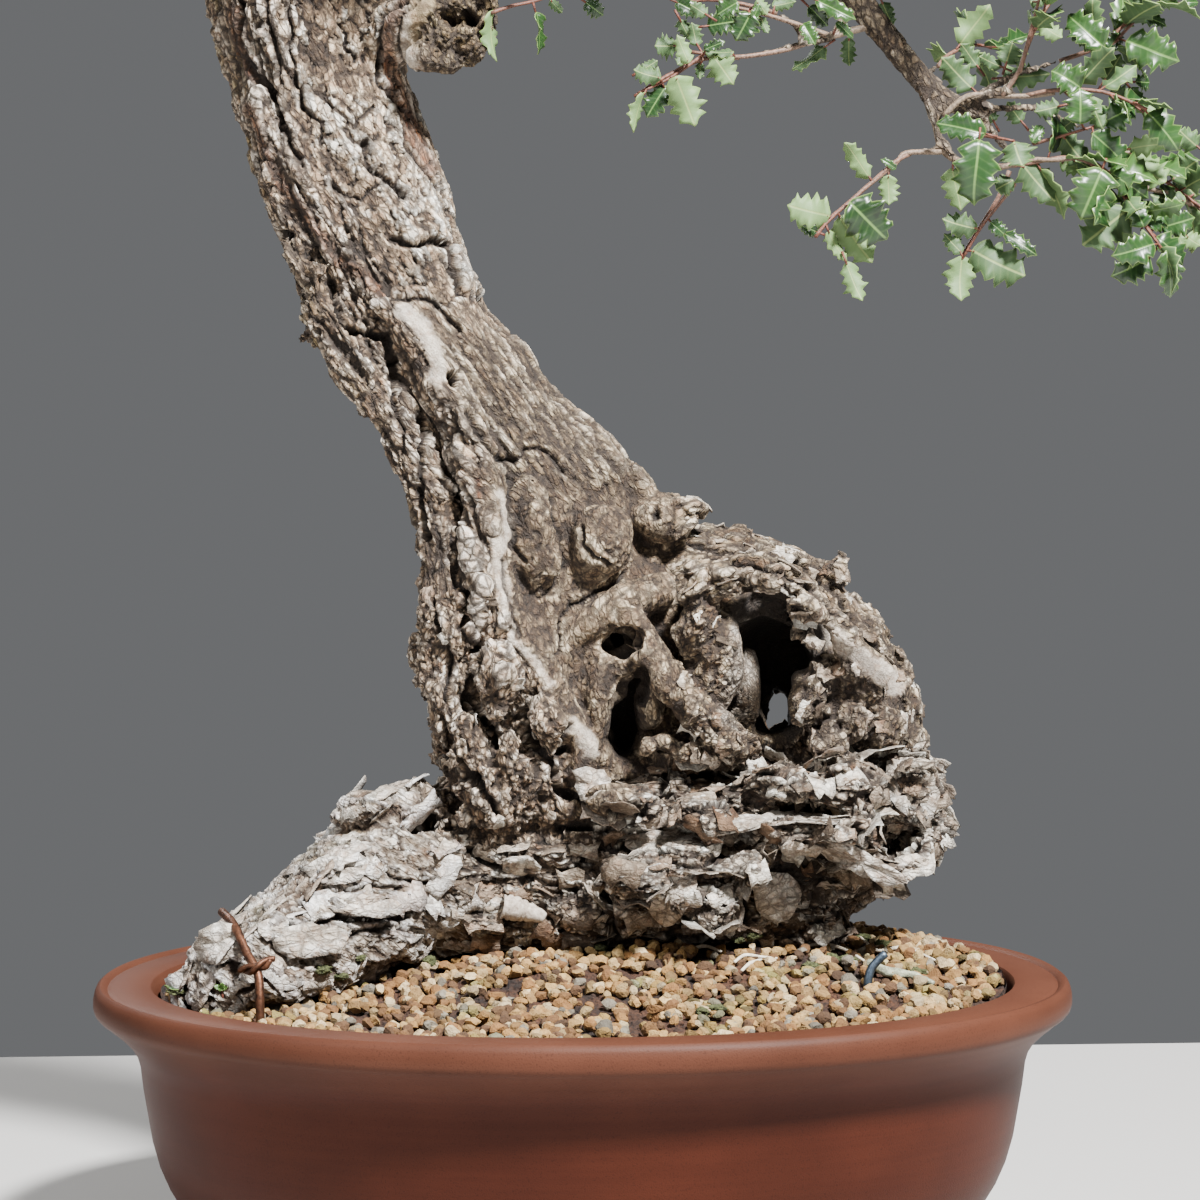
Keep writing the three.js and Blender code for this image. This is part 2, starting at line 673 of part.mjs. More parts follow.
function growLeaves(seats) {
  const wood = woodStretches(seats);
  const shoots = seats.flatMap(({ shoot }, owner) =>
    shoot.slice(1).map((p, i) => ({ ends: [shoot[i], p], owner })));
  const random = seededRandom(19);
  const taken = [];
  return seats.map(({ shoot }, owner) => {
    const leaves = [];
    for (let k = 0; k < leavesPerShoot; k += 1) {
      const last = k === leavesPerShoot - 1;
      const { at, heading } = alongPath(shoot, last ? 0.985 : 0.2 + (0.74 * k) / (leavesPerShoot - 1));
      const level = new THREE.Vector3().crossVectors(Z, heading).normalize();
      const over = new THREE.Vector3().crossVectors(heading, level);
      for (let attempt = 0; attempt < leafAttempts; attempt += 1) {
        const turn = leafTurn * k + 0.7 * attempt + 0.5 * random();
        const open = last ? 0.25 : 0.95 + 0.3 * random();
        const way = heading.clone().multiplyScalar(Math.cos(open));
        way.addScaledVector(level, Math.sin(open) * Math.cos(turn));
        way.addScaledVector(over, Math.sin(open) * Math.sin(turn)).normalize();
        const length = leafLength * (0.86 + 0.28 * random());
        const ends = [at.clone(), at.clone().addScaledVector(way, length)];
        const outer = [at.clone().addScaledVector(way, length * 0.3), ends[1]];
        const clearOf = (leaf) => (leaf.owner === owner ? ownLeafClearance : leafClearance);
        const free = taken.every((leaf) => stretchGap(outer, leaf.ends) > clearOf(leaf))
          && wood.every((stretch) => stretchGap(outer, stretch.ends) > stretch.radius + woodClearance)
          && shoots.every((other) => other.owner === owner
            || stretchGap(outer, other.ends) > shootRadius + woodClearance);
        if (!free) continue;
        taken.push({ ends, owner });
        const outward = at.clone().sub(crownHeart).setZ(0).normalize();
        const face = Z.clone().multiplyScalar(0.35 + 0.5 * random()).addScaledVector(outward, 0.75);
        leaves.push({ root: at, way, face: face.normalize(), length });
        break;
      }
    }
    return leaves;
  });
}

function makeSpray({ wood, shoot }, leaves) {
  const firstWay = endWay(wood);
  const start = shoot[0].clone().addScaledVector(firstWay, seatGap);
  const path = [start, ...shoot.slice(1)];
  const stations = path.map((p, i) => {
    const radius = shootRadius - (0.7 * i) / (path.length - 1);
    return [p.x, p.y, p.z, radius, radius];
  });
  let spray = limb(stations, { sides: 4, depthAxis: steadyAxis(path), firstWay });
  for (const { root, way, face, length } of leaves) spray = spray.add(leafSolid(root, way, face, length));
  return spray;
}

// Tie wires: one strapped over the great root with a twist, one short end beside the trunk

function roundBar(path, radius, overrun = 0) {
  const points = pathVectors(path);
  const last = points.length - 1;
  const shifts = [points[0].clone().sub(points[1]), points[last].clone().sub(points[last - 1])];
  points[0].addScaledVector(shifts[0].normalize(), overrun);
  points[last].addScaledVector(shifts[1].normalize(), overrun);
  const curve = new THREE.CatmullRomCurve3(points);
  const section = new THREE.Shape();
  section.absarc(0, 0, radius, 0, 2 * Math.PI);
  const sweep = { steps: 2 * last, curveSegments: wireSides / 2, bevelEnabled: false, extrudePath: curve };
  return solidOfGeometry(new THREE.ExtrudeGeometry(section, sweep));
}

const copperWire = [
  [-157, -36, 161], [-151, -52, 158], [-145, -63, 148], [-140, -70, 140], [-139, -74, 128],
  [-139, -75, 114],
];
const copperTwist = [[-147, -66, 141], [-140, -71, 143], [-134, -69, 146]];
const greyWire = [[128, -40, 141], [122, -41, 135], [120, -42, 128], [119, -42, 114]];
const wireRadius = 2;
const wireSides = 6;

function makeCopperTie(extra) {
  const strap = roundBar(copperWire, wireRadius + extra, extra);
  return strap.add(roundBar(copperTwist, wireRadius + 0.6 + extra, extra));
}

const seats = seatShoots();
const copperClearance = makeCopperTie(seatGap);
const greyClearance = roundBar(greyWire, wireRadius + seatGap, seatGap);

addPiece("pot", makePot(), "clay");
addPiece("drain_screen_left", makeScreen(-drainHoleX), "mesh");
addPiece("drain_screen_right", makeScreen(drainHoleX), "mesh");
addPiece("soil", makeSoil(), "soil");
const dressing = makeDressing().subtract(copperClearance).subtract(greyClearance);
addPiece("pumice_dressing", dressing, "pumice");
addPiece("tree", wholeOf(makeTree(seats).subtract(copperClearance)), "bark");
addPiece("tie_wire_root", makeCopperTie(0), "copper");
addPiece("tie_wire_end", roundBar(greyWire, wireRadius), "greyWire");
growLeaves(seats).forEach((leaves, i) => {
  addPiece(`spray_${String(i + 1).padStart(2, "0")}`, makeSpray(seats[i], leaves), "leaf");
});

// Stand the whole thing over the origin
const box = new THREE.Box3().setFromObject(bonsai);
bonsai.position.set(-(box.min.x + box.max.x) / 2, -(box.min.y + box.max.y) / 2, -box.min.z);

export default bonsai;
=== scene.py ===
# Looks of a portuguese oak bonsai in its oval clay pot.
# Lengths are millimetres round the pot's centre, and inFrame turns them into the frame's metres.
import math

import bpy
import numpy as np
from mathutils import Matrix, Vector
from mathutils.bvhtree import BVHTree


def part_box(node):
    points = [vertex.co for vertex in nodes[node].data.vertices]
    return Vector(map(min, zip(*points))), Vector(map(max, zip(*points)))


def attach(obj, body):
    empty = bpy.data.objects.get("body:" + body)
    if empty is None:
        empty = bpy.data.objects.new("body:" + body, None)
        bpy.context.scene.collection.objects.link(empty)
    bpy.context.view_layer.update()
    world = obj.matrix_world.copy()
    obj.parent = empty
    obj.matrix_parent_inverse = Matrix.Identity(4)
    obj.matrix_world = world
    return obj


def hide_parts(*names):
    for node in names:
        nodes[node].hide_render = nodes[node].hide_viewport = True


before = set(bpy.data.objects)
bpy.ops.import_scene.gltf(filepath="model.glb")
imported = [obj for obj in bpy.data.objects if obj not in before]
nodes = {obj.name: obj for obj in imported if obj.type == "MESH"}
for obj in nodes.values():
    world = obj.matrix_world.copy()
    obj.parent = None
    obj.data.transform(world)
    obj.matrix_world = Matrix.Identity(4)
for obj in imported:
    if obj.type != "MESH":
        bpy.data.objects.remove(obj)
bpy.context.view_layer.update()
potLow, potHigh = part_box("pot")
potCentre = np.array([(potLow.x + potHigh.x) / 2, (potLow.y + potHigh.y) / 2, 0.0])
mm = 0.001
bpy.ops.object.select_all(action="DESELECT")

# The photograph's frame and the viewpoint worked out from the pot's rim
photo = {"size": 1200, "lens": 90.0, "sensor": 36.0, "turn": 3.4, "pitch": 2.95,
         "eye": (-71.3, -1316.1, 360.0), "pixel": 0.44}


def inFrame(points):
    return np.asarray(points, float) * mm + potCentre


def fromFrame(points):
    return (np.asarray(points, float) - potCentre) / mm


def linear(hexColour):
    parts = [int(hexColour[i:i + 2], 16) / 255 for i in (1, 3, 5)]
    return [v / 12.92 if v <= 0.04045 else ((v + 0.055) / 1.055) ** 2.4 for v in parts] + [1.0]


def makeCamera():
    turn, pitch = math.radians(photo["turn"]), math.radians(photo["pitch"])
    ahead = Vector((math.sin(turn) * math.cos(pitch), math.cos(turn) * math.cos(pitch), -math.sin(pitch)))
    data = bpy.data.cameras.new("photoCamera")
    data.lens = photo["lens"]
    data.sensor_width = photo["sensor"]
    camera = bpy.data.objects.new("photoCamera", data)
    camera.location = inFrame(photo["eye"])
    camera.rotation_euler = ahead.to_track_quat("-Z", "Y").to_euler()
    bpy.context.scene.collection.objects.link(camera)
    bpy.context.scene.camera = camera
    return np.array(ahead)


ahead = makeCamera()
rightward = np.cross(ahead, [0, 0, 1])
rightward /= np.linalg.norm(rightward)
upward = np.cross(rightward, ahead)
focus = photo["lens"] / photo["sensor"] * photo["size"]


def toPixels(points):
    away = points - np.array(photo["eye"])
    depth = away @ ahead
    across = photo["size"] / 2 + focus * (away @ rightward) / depth
    down = photo["size"] / 2 - focus * (away @ upward) / depth
    return np.stack([across, down], 1)


def fromPixel(px, row, y):
    ray = ahead + rightward * (px - photo["size"] / 2) / focus + upward * (photo["size"] / 2 - row) / focus
    eye = np.array(photo["eye"])
    return eye + ray * (y - eye[1]) / ray[1]


print("camera set")


# Noise and cell patterns on arrays of points
def hashed(cell, seed):
    h = cell[:, 0].astype(np.uint32) * np.uint32(0x8DA6B343)
    h ^= cell[:, 1].astype(np.uint32) * np.uint32(0xD8163841)
    h ^= cell[:, 2].astype(np.uint32) * np.uint32(0xCB1AB31F)
    h ^= np.uint32((seed * 0x9E3779B9 + 0x7F4A7C15) & 0xFFFFFFFF)
    h ^= h >> np.uint32(15)
    h *= np.uint32(0x2C1B3C6D)
    h ^= h >> np.uint32(12)
    h *= np.uint32(0x297A2D39)
    h ^= h >> np.uint32(15)
    return h


def noise(points, seed):
    base = np.floor(points).astype(np.int32)
    part = (points - base).astype(np.float32)
    part = part * part * part * (part * (part * 6 - 15) + 10)
    total = np.zeros(len(points), np.float32)
    for corner in np.ndindex(2, 2, 2):
        weight = np.ones(len(points), np.float32)
        for axis in range(3):
            weight *= part[:, axis] if corner[axis] else 1 - part[:, axis]
        total += weight * (hashed(base + np.array(corner, np.int32), seed).astype(np.float32) / 4294967296.0)
    return total * 2 - 1


def fractal(points, seed, octaves=3, gain=0.5):
    total, weight, reach = 0, 1.0, 0.0
    for k in range(octaves):
        total = total + weight * noise(points * 2.03 ** k + 17.3 * k, seed + k)
        reach += weight
        weight *= gain
    return total / reach


def cellPattern(points, seed, jitter=0.92):
    nearest = np.full(len(points), 9, np.float32)
    second = np.full(len(points), 9, np.float32)
    owner = np.zeros(len(points), np.uint32)
    offset = np.zeros((len(points), 3), np.float32)
    base = np.floor(points).astype(np.int32)
    part = (points - base).astype(np.float32)
    for step in np.ndindex(3, 3, 3):
        cell = np.array(step, np.int32) - 1
        h = hashed(base + cell, seed)
        gaps = np.empty((len(points), 3), np.float32)
        for axis in range(3):
            share = ((h >> np.uint32(10 * axis)) & np.uint32(1023)).astype(np.float32) / 1023
            gaps[:, axis] = part[:, axis] - (cell[axis] + 0.5 + (share - 0.5) * jitter)
        reach = (gaps ** 2).sum(1)
        closer = reach < nearest
        offset[closer] = gaps[closer]
        second = np.where(closer, nearest, np.minimum(second, reach))
        nearest = np.where(closer, reach, nearest)
        owner = np.where(closer, h, owner)
    share = ((owner * np.uint32(2654435761)) >> np.uint32(9)).astype(np.float32) / 8388607
    nearest = np.sqrt(nearest)
    return np.sqrt(second) - nearest, share, nearest, offset


def unit(v):
    v = np.asarray(v, float)
    return v / max(np.linalg.norm(v), 1e-9)


def smooth(low, high, value):
    t = np.clip((value - low) / (high - low), 0, 1)
    return t * t * (3 - 2 * t)


# Mesh helpers
def onlySelect(piece):
    bpy.ops.object.select_all(action="DESELECT")
    piece.select_set(True)
    bpy.context.view_layer.objects.active = piece


def startEditing(piece, action="SELECT", kind="VERT"):
    onlySelect(piece)
    bpy.ops.object.mode_set(mode="EDIT")
    bpy.ops.mesh.select_mode(type=kind)
    bpy.ops.mesh.select_all(action=action)


def stopEditing():
    bpy.ops.mesh.select_mode(type="VERT")
    bpy.ops.object.mode_set(mode="OBJECT")


# Selects the marked edges or faces and stays in edit mode
def editMarked(piece, items, kind, marks):
    startEditing(piece, "DESELECT", kind)
    bpy.ops.object.mode_set(mode="OBJECT")
    getattr(piece.data, items).foreach_set("select", marks)
    bpy.ops.object.mode_set(mode="EDIT")


def turnOutward(piece):
    startEditing(piece)
    bpy.ops.mesh.normals_make_consistent(inside=False)
    stopEditing()


def addModifier(piece, kind, **settings):
    modifier = piece.modifiers.new(kind.title(), kind)
    for key, value in settings.items():
        setattr(modifier, key, value)


def applyModifiers(piece):
    onlySelect(piece)
    for modifier in list(piece.modifiers):
        bpy.ops.object.modifier_apply(modifier=modifier.name)


def readField(items, field, width=1, kind=np.float32):
    flat = np.empty(len(items) * width, kind)
    items.foreach_get(field, flat)
    return flat.reshape(-1, width) if width > 1 else flat


def placesOf(piece):
    return readField(piece.data.vertices, "co", 3)


def normalsOf(piece):
    return readField(piece.data.vertices, "normal", 3)


def edgesOf(piece):
    return readField(piece.data.edges, "vertices", 2, np.int32)


def trianglesOf(piece):
    piece.data.calc_loop_triangles()
    return readField(piece.data.loop_triangles, "vertices", 3, np.int32)


def setPlaces(piece, points):
    piece.data.vertices.foreach_set("co", np.ascontiguousarray(points, np.float32).ravel())
    piece.data.update()


def treeOf(piece):
    return BVHTree.FromPolygons(placesOf(piece).tolist(), trianglesOf(piece).tolist())


def setAttribute(piece, name, values, kind="FLOAT"):
    layer = piece.data.attributes.get(name) or piece.data.attributes.new(name, kind, "POINT")
    field = {"FLOAT": "value", "FLOAT_VECTOR": "vector", "FLOAT_COLOR": "color"}[kind]
    layer.data.foreach_set(field, np.ascontiguousarray(values, np.float32).ravel())


def newMesh(name, points, loops, sizes, smoothShaded=True):
    mesh = bpy.data.meshes.new(name)
    mesh.vertices.add(len(points))
    mesh.vertices.foreach_set("co", np.ascontiguousarray(points, np.float32).ravel())
    mesh.loops.add(len(loops))
    mesh.loops.foreach_set("vertex_index", np.ascontiguousarray(loops, np.int32))
    mesh.polygons.add(len(sizes))
    starts = np.concatenate([[0], np.cumsum(sizes)[:-1]])
    mesh.polygons.foreach_set("loop_start", starts.astype(np.int32))
    mesh.polygons.foreach_set("use_smooth", np.full(len(sizes), smoothShaded))
    mesh.update(calc_edges=True)
    mesh.validate()
    piece = bpy.data.objects.new(name, mesh)
    bpy.context.scene.collection.objects.link(piece)
    return piece


def smoothPath(path, steps=4):
    path = np.asarray(path, float)
    ends = np.vstack([2 * path[0] - path[1], path, 2 * path[-1] - path[-2]])
    out = []
    for i in range(1, len(ends) - 2):
        p0, p1, p2, p3 = ends[i - 1:i + 3]
        for k in range(steps):
            t = k / steps
            out.append(0.5 * (2 * p1 + (p2 - p0) * t + (2 * p0 - 5 * p1 + 4 * p2 - p3) * t * t
                              + (3 * p1 - p0 - 3 * p2 + p3) * t ** 3))
    return np.vstack([out, path[-1:]])


# Rings round a path, joined into a closed tube
def tubeAlong(path, radii, sides):
    path = np.asarray(path, float)
    count = len(path)
    ways = np.gradient(path, axis=0)
    ways /= np.linalg.norm(ways, axis=1)[:, None] + 1e-9
    radii = np.interp(np.linspace(0, 1, count), np.linspace(0, 1, len(radii)), radii)
    side = np.cross(ways, [0.31, 0.87, 0.38])
    side /= np.linalg.norm(side, axis=1)[:, None]
    other = np.cross(ways, side)
    turns = np.arange(sides) * 2 * math.pi / sides
    ring = np.cos(turns)[None, :, None] * side[:, None, :] + np.sin(turns)[None, :, None] * other[:, None, :]
    points = (path[:, None, :] + ring * radii[:, None, None]).reshape(-1, 3)
    faces = []
    for i in range(count - 1):
        for j in range(sides):
            a, b = i * sides + j, i * sides + (j + 1) % sides
            faces.append((a, b, b + sides, a + sides))
    faces.append(tuple(range(sides - 1, -1, -1)))
    faces.append(tuple(range((count - 1) * sides, count * sides)))
    return points, faces


def meshFrom(name, parts, smoothShaded=True):
    points, loops, sizes, start = [], [], [], 0
    for shape, faces in parts:
        points.append(shape)
        for face in faces:
            loops.extend(int(i) + start for i in face)
            sizes.append(len(face))
        start += len(shape)
    return newMesh(name, inFrame(np.vstack(points)), loops, np.array(sizes), smoothShaded)


# A CAD node's mesh is loose triangles, so a copy of it is merged before it is shaped
def copyNode(node, name):
    piece = bpy.data.objects.new(name, nodes[node].data.copy())
    bpy.context.scene.collection.objects.link(piece)
    startEditing(piece)
    bpy.ops.mesh.remove_doubles(threshold=1e-6)
    stopEditing()
    return piece


def newBall(cuts, radius=1.0):
    bpy.ops.mesh.primitive_ico_sphere_add(subdivisions=cuts, radius=radius, location=(0, 0, 0))
    return bpy.context.active_object


# A blank's points and triangles, once it is shaped
def takeApart(blank):
    shape = placesOf(blank), trianglesOf(blank)
    bpy.data.objects.remove(blank)
    return shape


def setTint(piece, name, colours):
    setAttribute(piece, name, np.concatenate([colours, np.ones((len(colours), 1))], 1), "FLOAT_COLOR")


# What the bark's material reads: its tint, its place along the grain, and how far it is crackled
def setBark(piece, colours, grain, crackled):
    setTint(piece, "barkTint", colours)
    setAttribute(piece, "grain", grain, "FLOAT_VECTOR")
    setAttribute(piece, "crackled", crackled)


def settle(piece, slot, *materials, replaces=()):
    piece.data.materials.clear()
    for material in materials:
        piece.data.materials.append(material)
    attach(piece, "root")
    if replaces:
        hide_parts(*replaces)


# Adds a node. Its inputs take numbers, hex colours or other nodes' outputs, and stops fill a colour ramp
def addNode(tree, kind, output, inputs=None, stops=(), **settings):
    node = tree.nodes.new("ShaderNode" + kind)
    for key, value in settings.items():
        setattr(node, key, value)
    for key, value in (inputs or {}).items():
        if isinstance(value, bpy.types.NodeSocket):
            tree.links.new(value, node.inputs[key])
        else:
            node.inputs[key].default_value = linear(value) if isinstance(value, str) else value
    if stops:
        elements = node.color_ramp.elements
        while len(elements) < len(stops):
            elements.new(0.5)
        for element, (place, colour) in zip(elements, stops):
            element.position = place
            element.color = linear(colour) if isinstance(colour, str) else (colour, colour, colour, 1)
    return node if output is None else node.outputs[output]


def newMaterial(name, values):
    material = bpy.data.materials.new(name)
    material.use_nodes = True
    tree = material.node_tree
    for key, value in values.items():
        tree.nodes["Principled BSDF"].inputs[key].default_value = value
    return material, tree, addNode(tree, "TexCoord", "Object")


# Lays the shades of a pattern over a colour
def shadeWith(tree, colour, share, pattern, stops, way="MULTIPLY"):
    shades = addNode(tree, "ValToRGB", "Color", {"Fac": pattern}, stops)
    return addNode(tree, "Mix", 2, {0: share, 6: colour, 7: shades}, data_type="RGBA", blend_type=way)


def finishMaterial(tree, colour, height, strength, depth):
    bump = addNode(tree, "Bump", 0, {"Strength": strength, "Distance": depth, "Height": height})
    shader = tree.nodes["Principled BSDF"]
    tree.links.new(colour, shader.inputs["Base Color"])
    tree.links.new(bump, shader.inputs["Normal"])


# Oak bark: corky ridged rhytidome, dry and matte, weathered pale on its faces and dark in its cracks, partly
# their own colour and partly painted shade
def makeBarkMaterial():
    material, tree, place = newMaterial("oakBarkWeathered", {"Roughness": 0.86})
    grain = addNode(tree, "Attribute", "Vector", attribute_name="grain")
    crackled = addNode(tree, "Attribute", "Fac", attribute_name="crackled")
    colour = addNode(tree, "Attribute", "Color", attribute_name="barkTint")
    # Crackle of 5 mm plates and of 2 mm scales, longer along the grain
    wobble = addNode(tree, "TexNoise", "Color",
                     {"Scale": 0.35, "Detail": 3.0, "Roughness": 0.6, "Vector": grain})
    uneven = addNode(tree, "Math", 0, {0: crackled, 1: 0.6}, operation="MULTIPLY")
    lines = []
    for across, along, wide in ((0.2, 0.12, 0.042), (0.5, 0.28, 0.062)):
        stretched = addNode(tree, "Mapping", 0, {"Scale": (across, across, along), "Vector": grain})
        bent = addNode(tree, "Mix", 1, {0: 0.3, 4: stretched, 5: wobble}, data_type="VECTOR")
        edge = addNode(tree, "TexVoronoi", "Distance", {"Scale": 1.0, "Vector": bent},
                       feature="DISTANCE_TO_EDGE")
        lines.append(addNode(tree, "ValToRGB", "Color", {"Fac": edge},
                             [(0.0, 0.0), (wide, 0.25), (2.2 * wide, 1.0)]))
        plates = addNode(tree, "TexVoronoi", "Color", {"Scale": 1.0, "Vector": bent})
        colour = shadeWith(tree, colour, uneven, plates, [(0.3, "#A08F7B"), (0.6, "#FFFFFF")])
    both = addNode(tree, "Mix", 2, {0: 1.0, 6: lines[0], 7: lines[1]}, data_type="RGBA",
                   blend_type="MULTIPLY")
    crackle = addNode(tree, "Mix", 2, {0: 0.8, 6: lines[0], 7: both}, data_type="RGBA")
    # Specks of 0.7 mm, blotches of 3 mm and stains of 5 mm
    specks, blotch, stain = (
        addNode(tree, "TexNoise", "Fac",
                {"Scale": scale, "Detail": detail, "Roughness": rough, "Vector": place})
        for scale, detail, rough in ((1300.0, 3.0, 0.65), (300.0, 4.0, 0.65), (190.0, 5.0, 0.7)))
    colour = shadeWith(tree, colour, 0.4, blotch, [(0.35, "#7D6C5B"), (0.58, "#FFFFFF")])
    colour = shadeWith(tree, colour, 0.4, specks, [(0.35, "#77685A"), (0.55, "#FFFFFF")])
    colour = shadeWith(tree, colour, 0.5, stain, [(0.5, "#FFFFFF"), (0.64, "#B98D66")])
    colour = shadeWith(tree, colour, 0.25, specks, [(0.55, "#000000"), (0.75, "#948670")], "ADD")
    # The crackle's lines are painted near black: partly the cracks' own dark colour, partly painted shade in
    # the grooves
    dark = addNode(tree, "Mix", 2, {0: 0.92, 6: colour, 7: "#241A12"}, data_type="RGBA")
    lined = addNode(tree, "Mix", 2, {0: crackle, 6: dark, 7: colour}, data_type="RGBA")
    cracked = addNode(tree, "Mix", 2, {0: crackled, 6: colour, 7: lined}, data_type="RGBA")
    height = addNode(tree, "Math", 0, {0: crackle, 1: 0.6}, operation="MULTIPLY")
    weighed = addNode(tree, "Math", 0, {0: height, 1: crackled}, operation="MULTIPLY")
    grit = addNode(tree, "Math", 0, {0: specks, 1: 0.5, 2: weighed}, operation="MULTIPLY_ADD")
    finishMaterial(tree, cracked, grit, 0.95, 0.0014)
    return material


barkMaterial = makeBarkMaterial()


# Old wood: the trunk's axis, and the crown's branches, as they stand in the frame
trunkAxis = np.array([
    [-12, 44, 132, 58], [-15, 43, 200, 58], [-18, 42, 250, 56], [-19, 42, 292, 55], [-23, 42, 335, 50],
    [-50, 41, 380, 40], [-79.5, 40, 425, 38.5], [-99.5, 40, 470, 40], [-112.5, 40, 514, 42],
    [-121, 40, 558, 45], [-127, 40, 600, 42], [-124, 39, 637, 34], [-112, 37, 677, 26],
    [-94, 35, 713, 19], [-76, 32, 746, 13], [-63, 30, 772, 8], [-55, 28, 790, 4.5],
])
wood = {"voxel": 1.05, "softening": 12, "foot": 112, "faces": 520000, "cuts": [210, 345],
        "hollow": (84, 250), "dome": (84, 240)}  # middles of the hollow and of the dome round it

# What the front of the trunk shows, as lines through named pixels of the photograph:
# each has its points, half width in pixels, and height or depth in millimetres
cracks = {
    "stripLeft": ([(404, 0), (381, 17), (378, 51), (379, 79), (389, 98), (402, 107)], 3.2, 5),
    "stripLow": ([(403, 123), (406, 146), (418, 163), (438, 185)], 2.2, 3),
    "stripRight": ([(421, 0), (402, 17), (397, 42), (402, 67), (416, 93), (421, 121)], 2.0, 2.5),
    "furrowOne": ([(243, 0), (240, 36), (252, 62), (270, 90), (281, 118), (292, 146), (303, 163)], 4.5, 8),
    "furrowTwo": ([(292, 0), (291, 50), (296, 84), (301, 109)], 3.2, 6),
    "furrowThree": ([(268, 0), (273, 42), (277, 70), (281, 84)], 3.0, 5),
    "plateOne": ([(341, 25), (347, 45), (357, 59)], 3.2, 5),
    "plateTwo": ([(301, 109), (323, 121), (320, 146)], 2.6, 3.5),
    "plateThree": ([(326, 93), (337, 112), (354, 126), (374, 107)], 3.2, 3.5),
    "plateFour": ([(365, 140), (368, 166), (388, 180), (404, 196)], 4.2, 6),
    "plateFive": ([(330, 180), (346, 196), (360, 199), (382, 180)], 2.6, 3.5),
    "flapLeft": ([(389, 241), (413, 247), (433, 239), (449, 247), (451, 269), (463, 295)], 3.6, 6),
    "flapLow": ([(376, 264), (393, 295), (433, 303), (461, 331)], 3.0, 4),
    "edgeFlap": ([(472, 295), (497, 317), (520, 340)], 3.0, 4),
    "pitOne": ([(268, 238), (292, 233)], 4.5, 8),
    "pitTwo": ([(276, 261), (289, 268)], 4.5, 7),
    "deepOne": ([(332, 281), (334, 297), (348, 326), (382, 337), (396, 359)], 4.5, 8),
    "deepTwo": ([(393, 359), (396, 398), (402, 430)], 4.2, 8),
    "deepThree": ([(420, 420), (424, 460), (416, 500), (428, 540)], 4.0, 7),
    "ridgeFoot": ([(466, 414), (485, 445), (502, 461), (513, 459)], 4.0, 6),
    "besideRidge": ([(501, 560), (505, 585), (512, 610), (520, 640)], 3.0, 3.5),
    "crescent": ([(516, 461), (522, 450), (539, 447), (553, 456), (564, 473)], 2.6, 4),
    "knobLeft": ([(510, 478), (509, 515), (513, 548), (524, 562)], 3.2, 4),
    "knobRight": ([(550, 495), (553, 520), (561, 537), (564, 562), (553, 588), (539, 599)], 2.4, 3.5),
    "burlFoot": ([(583, 526), (581, 546), (595, 560), (609, 565)], 3.2, 5),
    "longCrack": ([(626, 571), (609, 588), (569, 604), (558, 624), (557, 655)], 2.8, 4.5),
    "lumpOne": ([(480, 655), (471, 689), (480, 711), (496, 736), (494, 753)], 4.5, 8),
    "lumpTwo": ([(536, 691), (524, 717), (530, 742), (544, 756), (553, 773), (561, 795)], 4.5, 9),
    "lumpThree": ([(567, 725), (561, 750), (550, 762)], 3.8, 7),
    "leftOne": ([(432, 600), (440, 640), (452, 668), (448, 700)], 4.5, 8),
    "leftTwo": ([(470, 590), (462, 630), (474, 650)], 3.8, 6),
    "leftThree": ([(440, 720), (456, 760), (480, 790), (500, 815)], 4.5, 8),
    "archOne": ([(733, 564), (764, 569), (790, 577), (810, 590), (830, 613)], 2.8, 4),
    "archTwo": ([(784, 559), (815, 574), (836, 595), (853, 618), (874, 643), (899, 666)], 3.6, 6),
    "archThree": ([(690, 545), (720, 552), (760, 550), (800, 562)], 3.0, 4),
    "gapOne": ([(688, 768), (711, 773), (723, 784), (739, 784)], 5.0, 10),
    "gapTwo": ([(770, 812), (805, 806), (830, 814), (856, 826), (872, 846)], 6.0, 12),
    "slotOne": ([(598, 875), (604, 900), (611, 925), (616, 936)], 6.0, 14),
    "slotTwo": ([(743, 892), (748, 920)], 4.5, 12),
    "slotThree": ([(712, 896), (724, 902)], 5.0, 10),
    "slotFour": ([(668, 920), (684, 927)], 5.0, 9),
    "layerOne": ([(560, 829), (589, 826), (617, 835), (652, 832)], 3.8, 7),
    "layerTwo": ([(583, 860), (623, 863), (663, 866), (698, 866), (721, 858)], 4.2, 8),
    "layerThree": ([(606, 812), (635, 815), (660, 794), (666, 769)], 3.8, 7),
    "layerFour": ([(692, 769), (715, 777), (738, 769), (780, 775), (800, 790)], 3.8, 7),
    "layerFive": ([(560, 790), (580, 800), (600, 790), (640, 780)], 3.6, 6),
    "layerSix": ([(640, 850), (680, 838), (720, 846), (735, 830)], 3.4, 6),
    "rootOne": ([(300, 905), (330, 893), (365, 888), (400, 892)], 3.2, 5),
    "rootTwo": ([(285, 928), (320, 925), (345, 918), (392, 920), (410, 915)], 3.6, 6),
    "rootThree": ([(345, 945), (360, 930), (400, 928), (440, 935)], 3.0, 5),
    "rootFour": ([(205, 935), (215, 960), (240, 965), (262, 975)], 2.4, 3),
    "rootFive": ([(385, 868), (400, 880), (430, 885), (470, 880)], 3.0, 5),
    "rootBrace": ([(470, 850), (500, 870), (540, 880), (575, 890)], 4.0, 7),
}
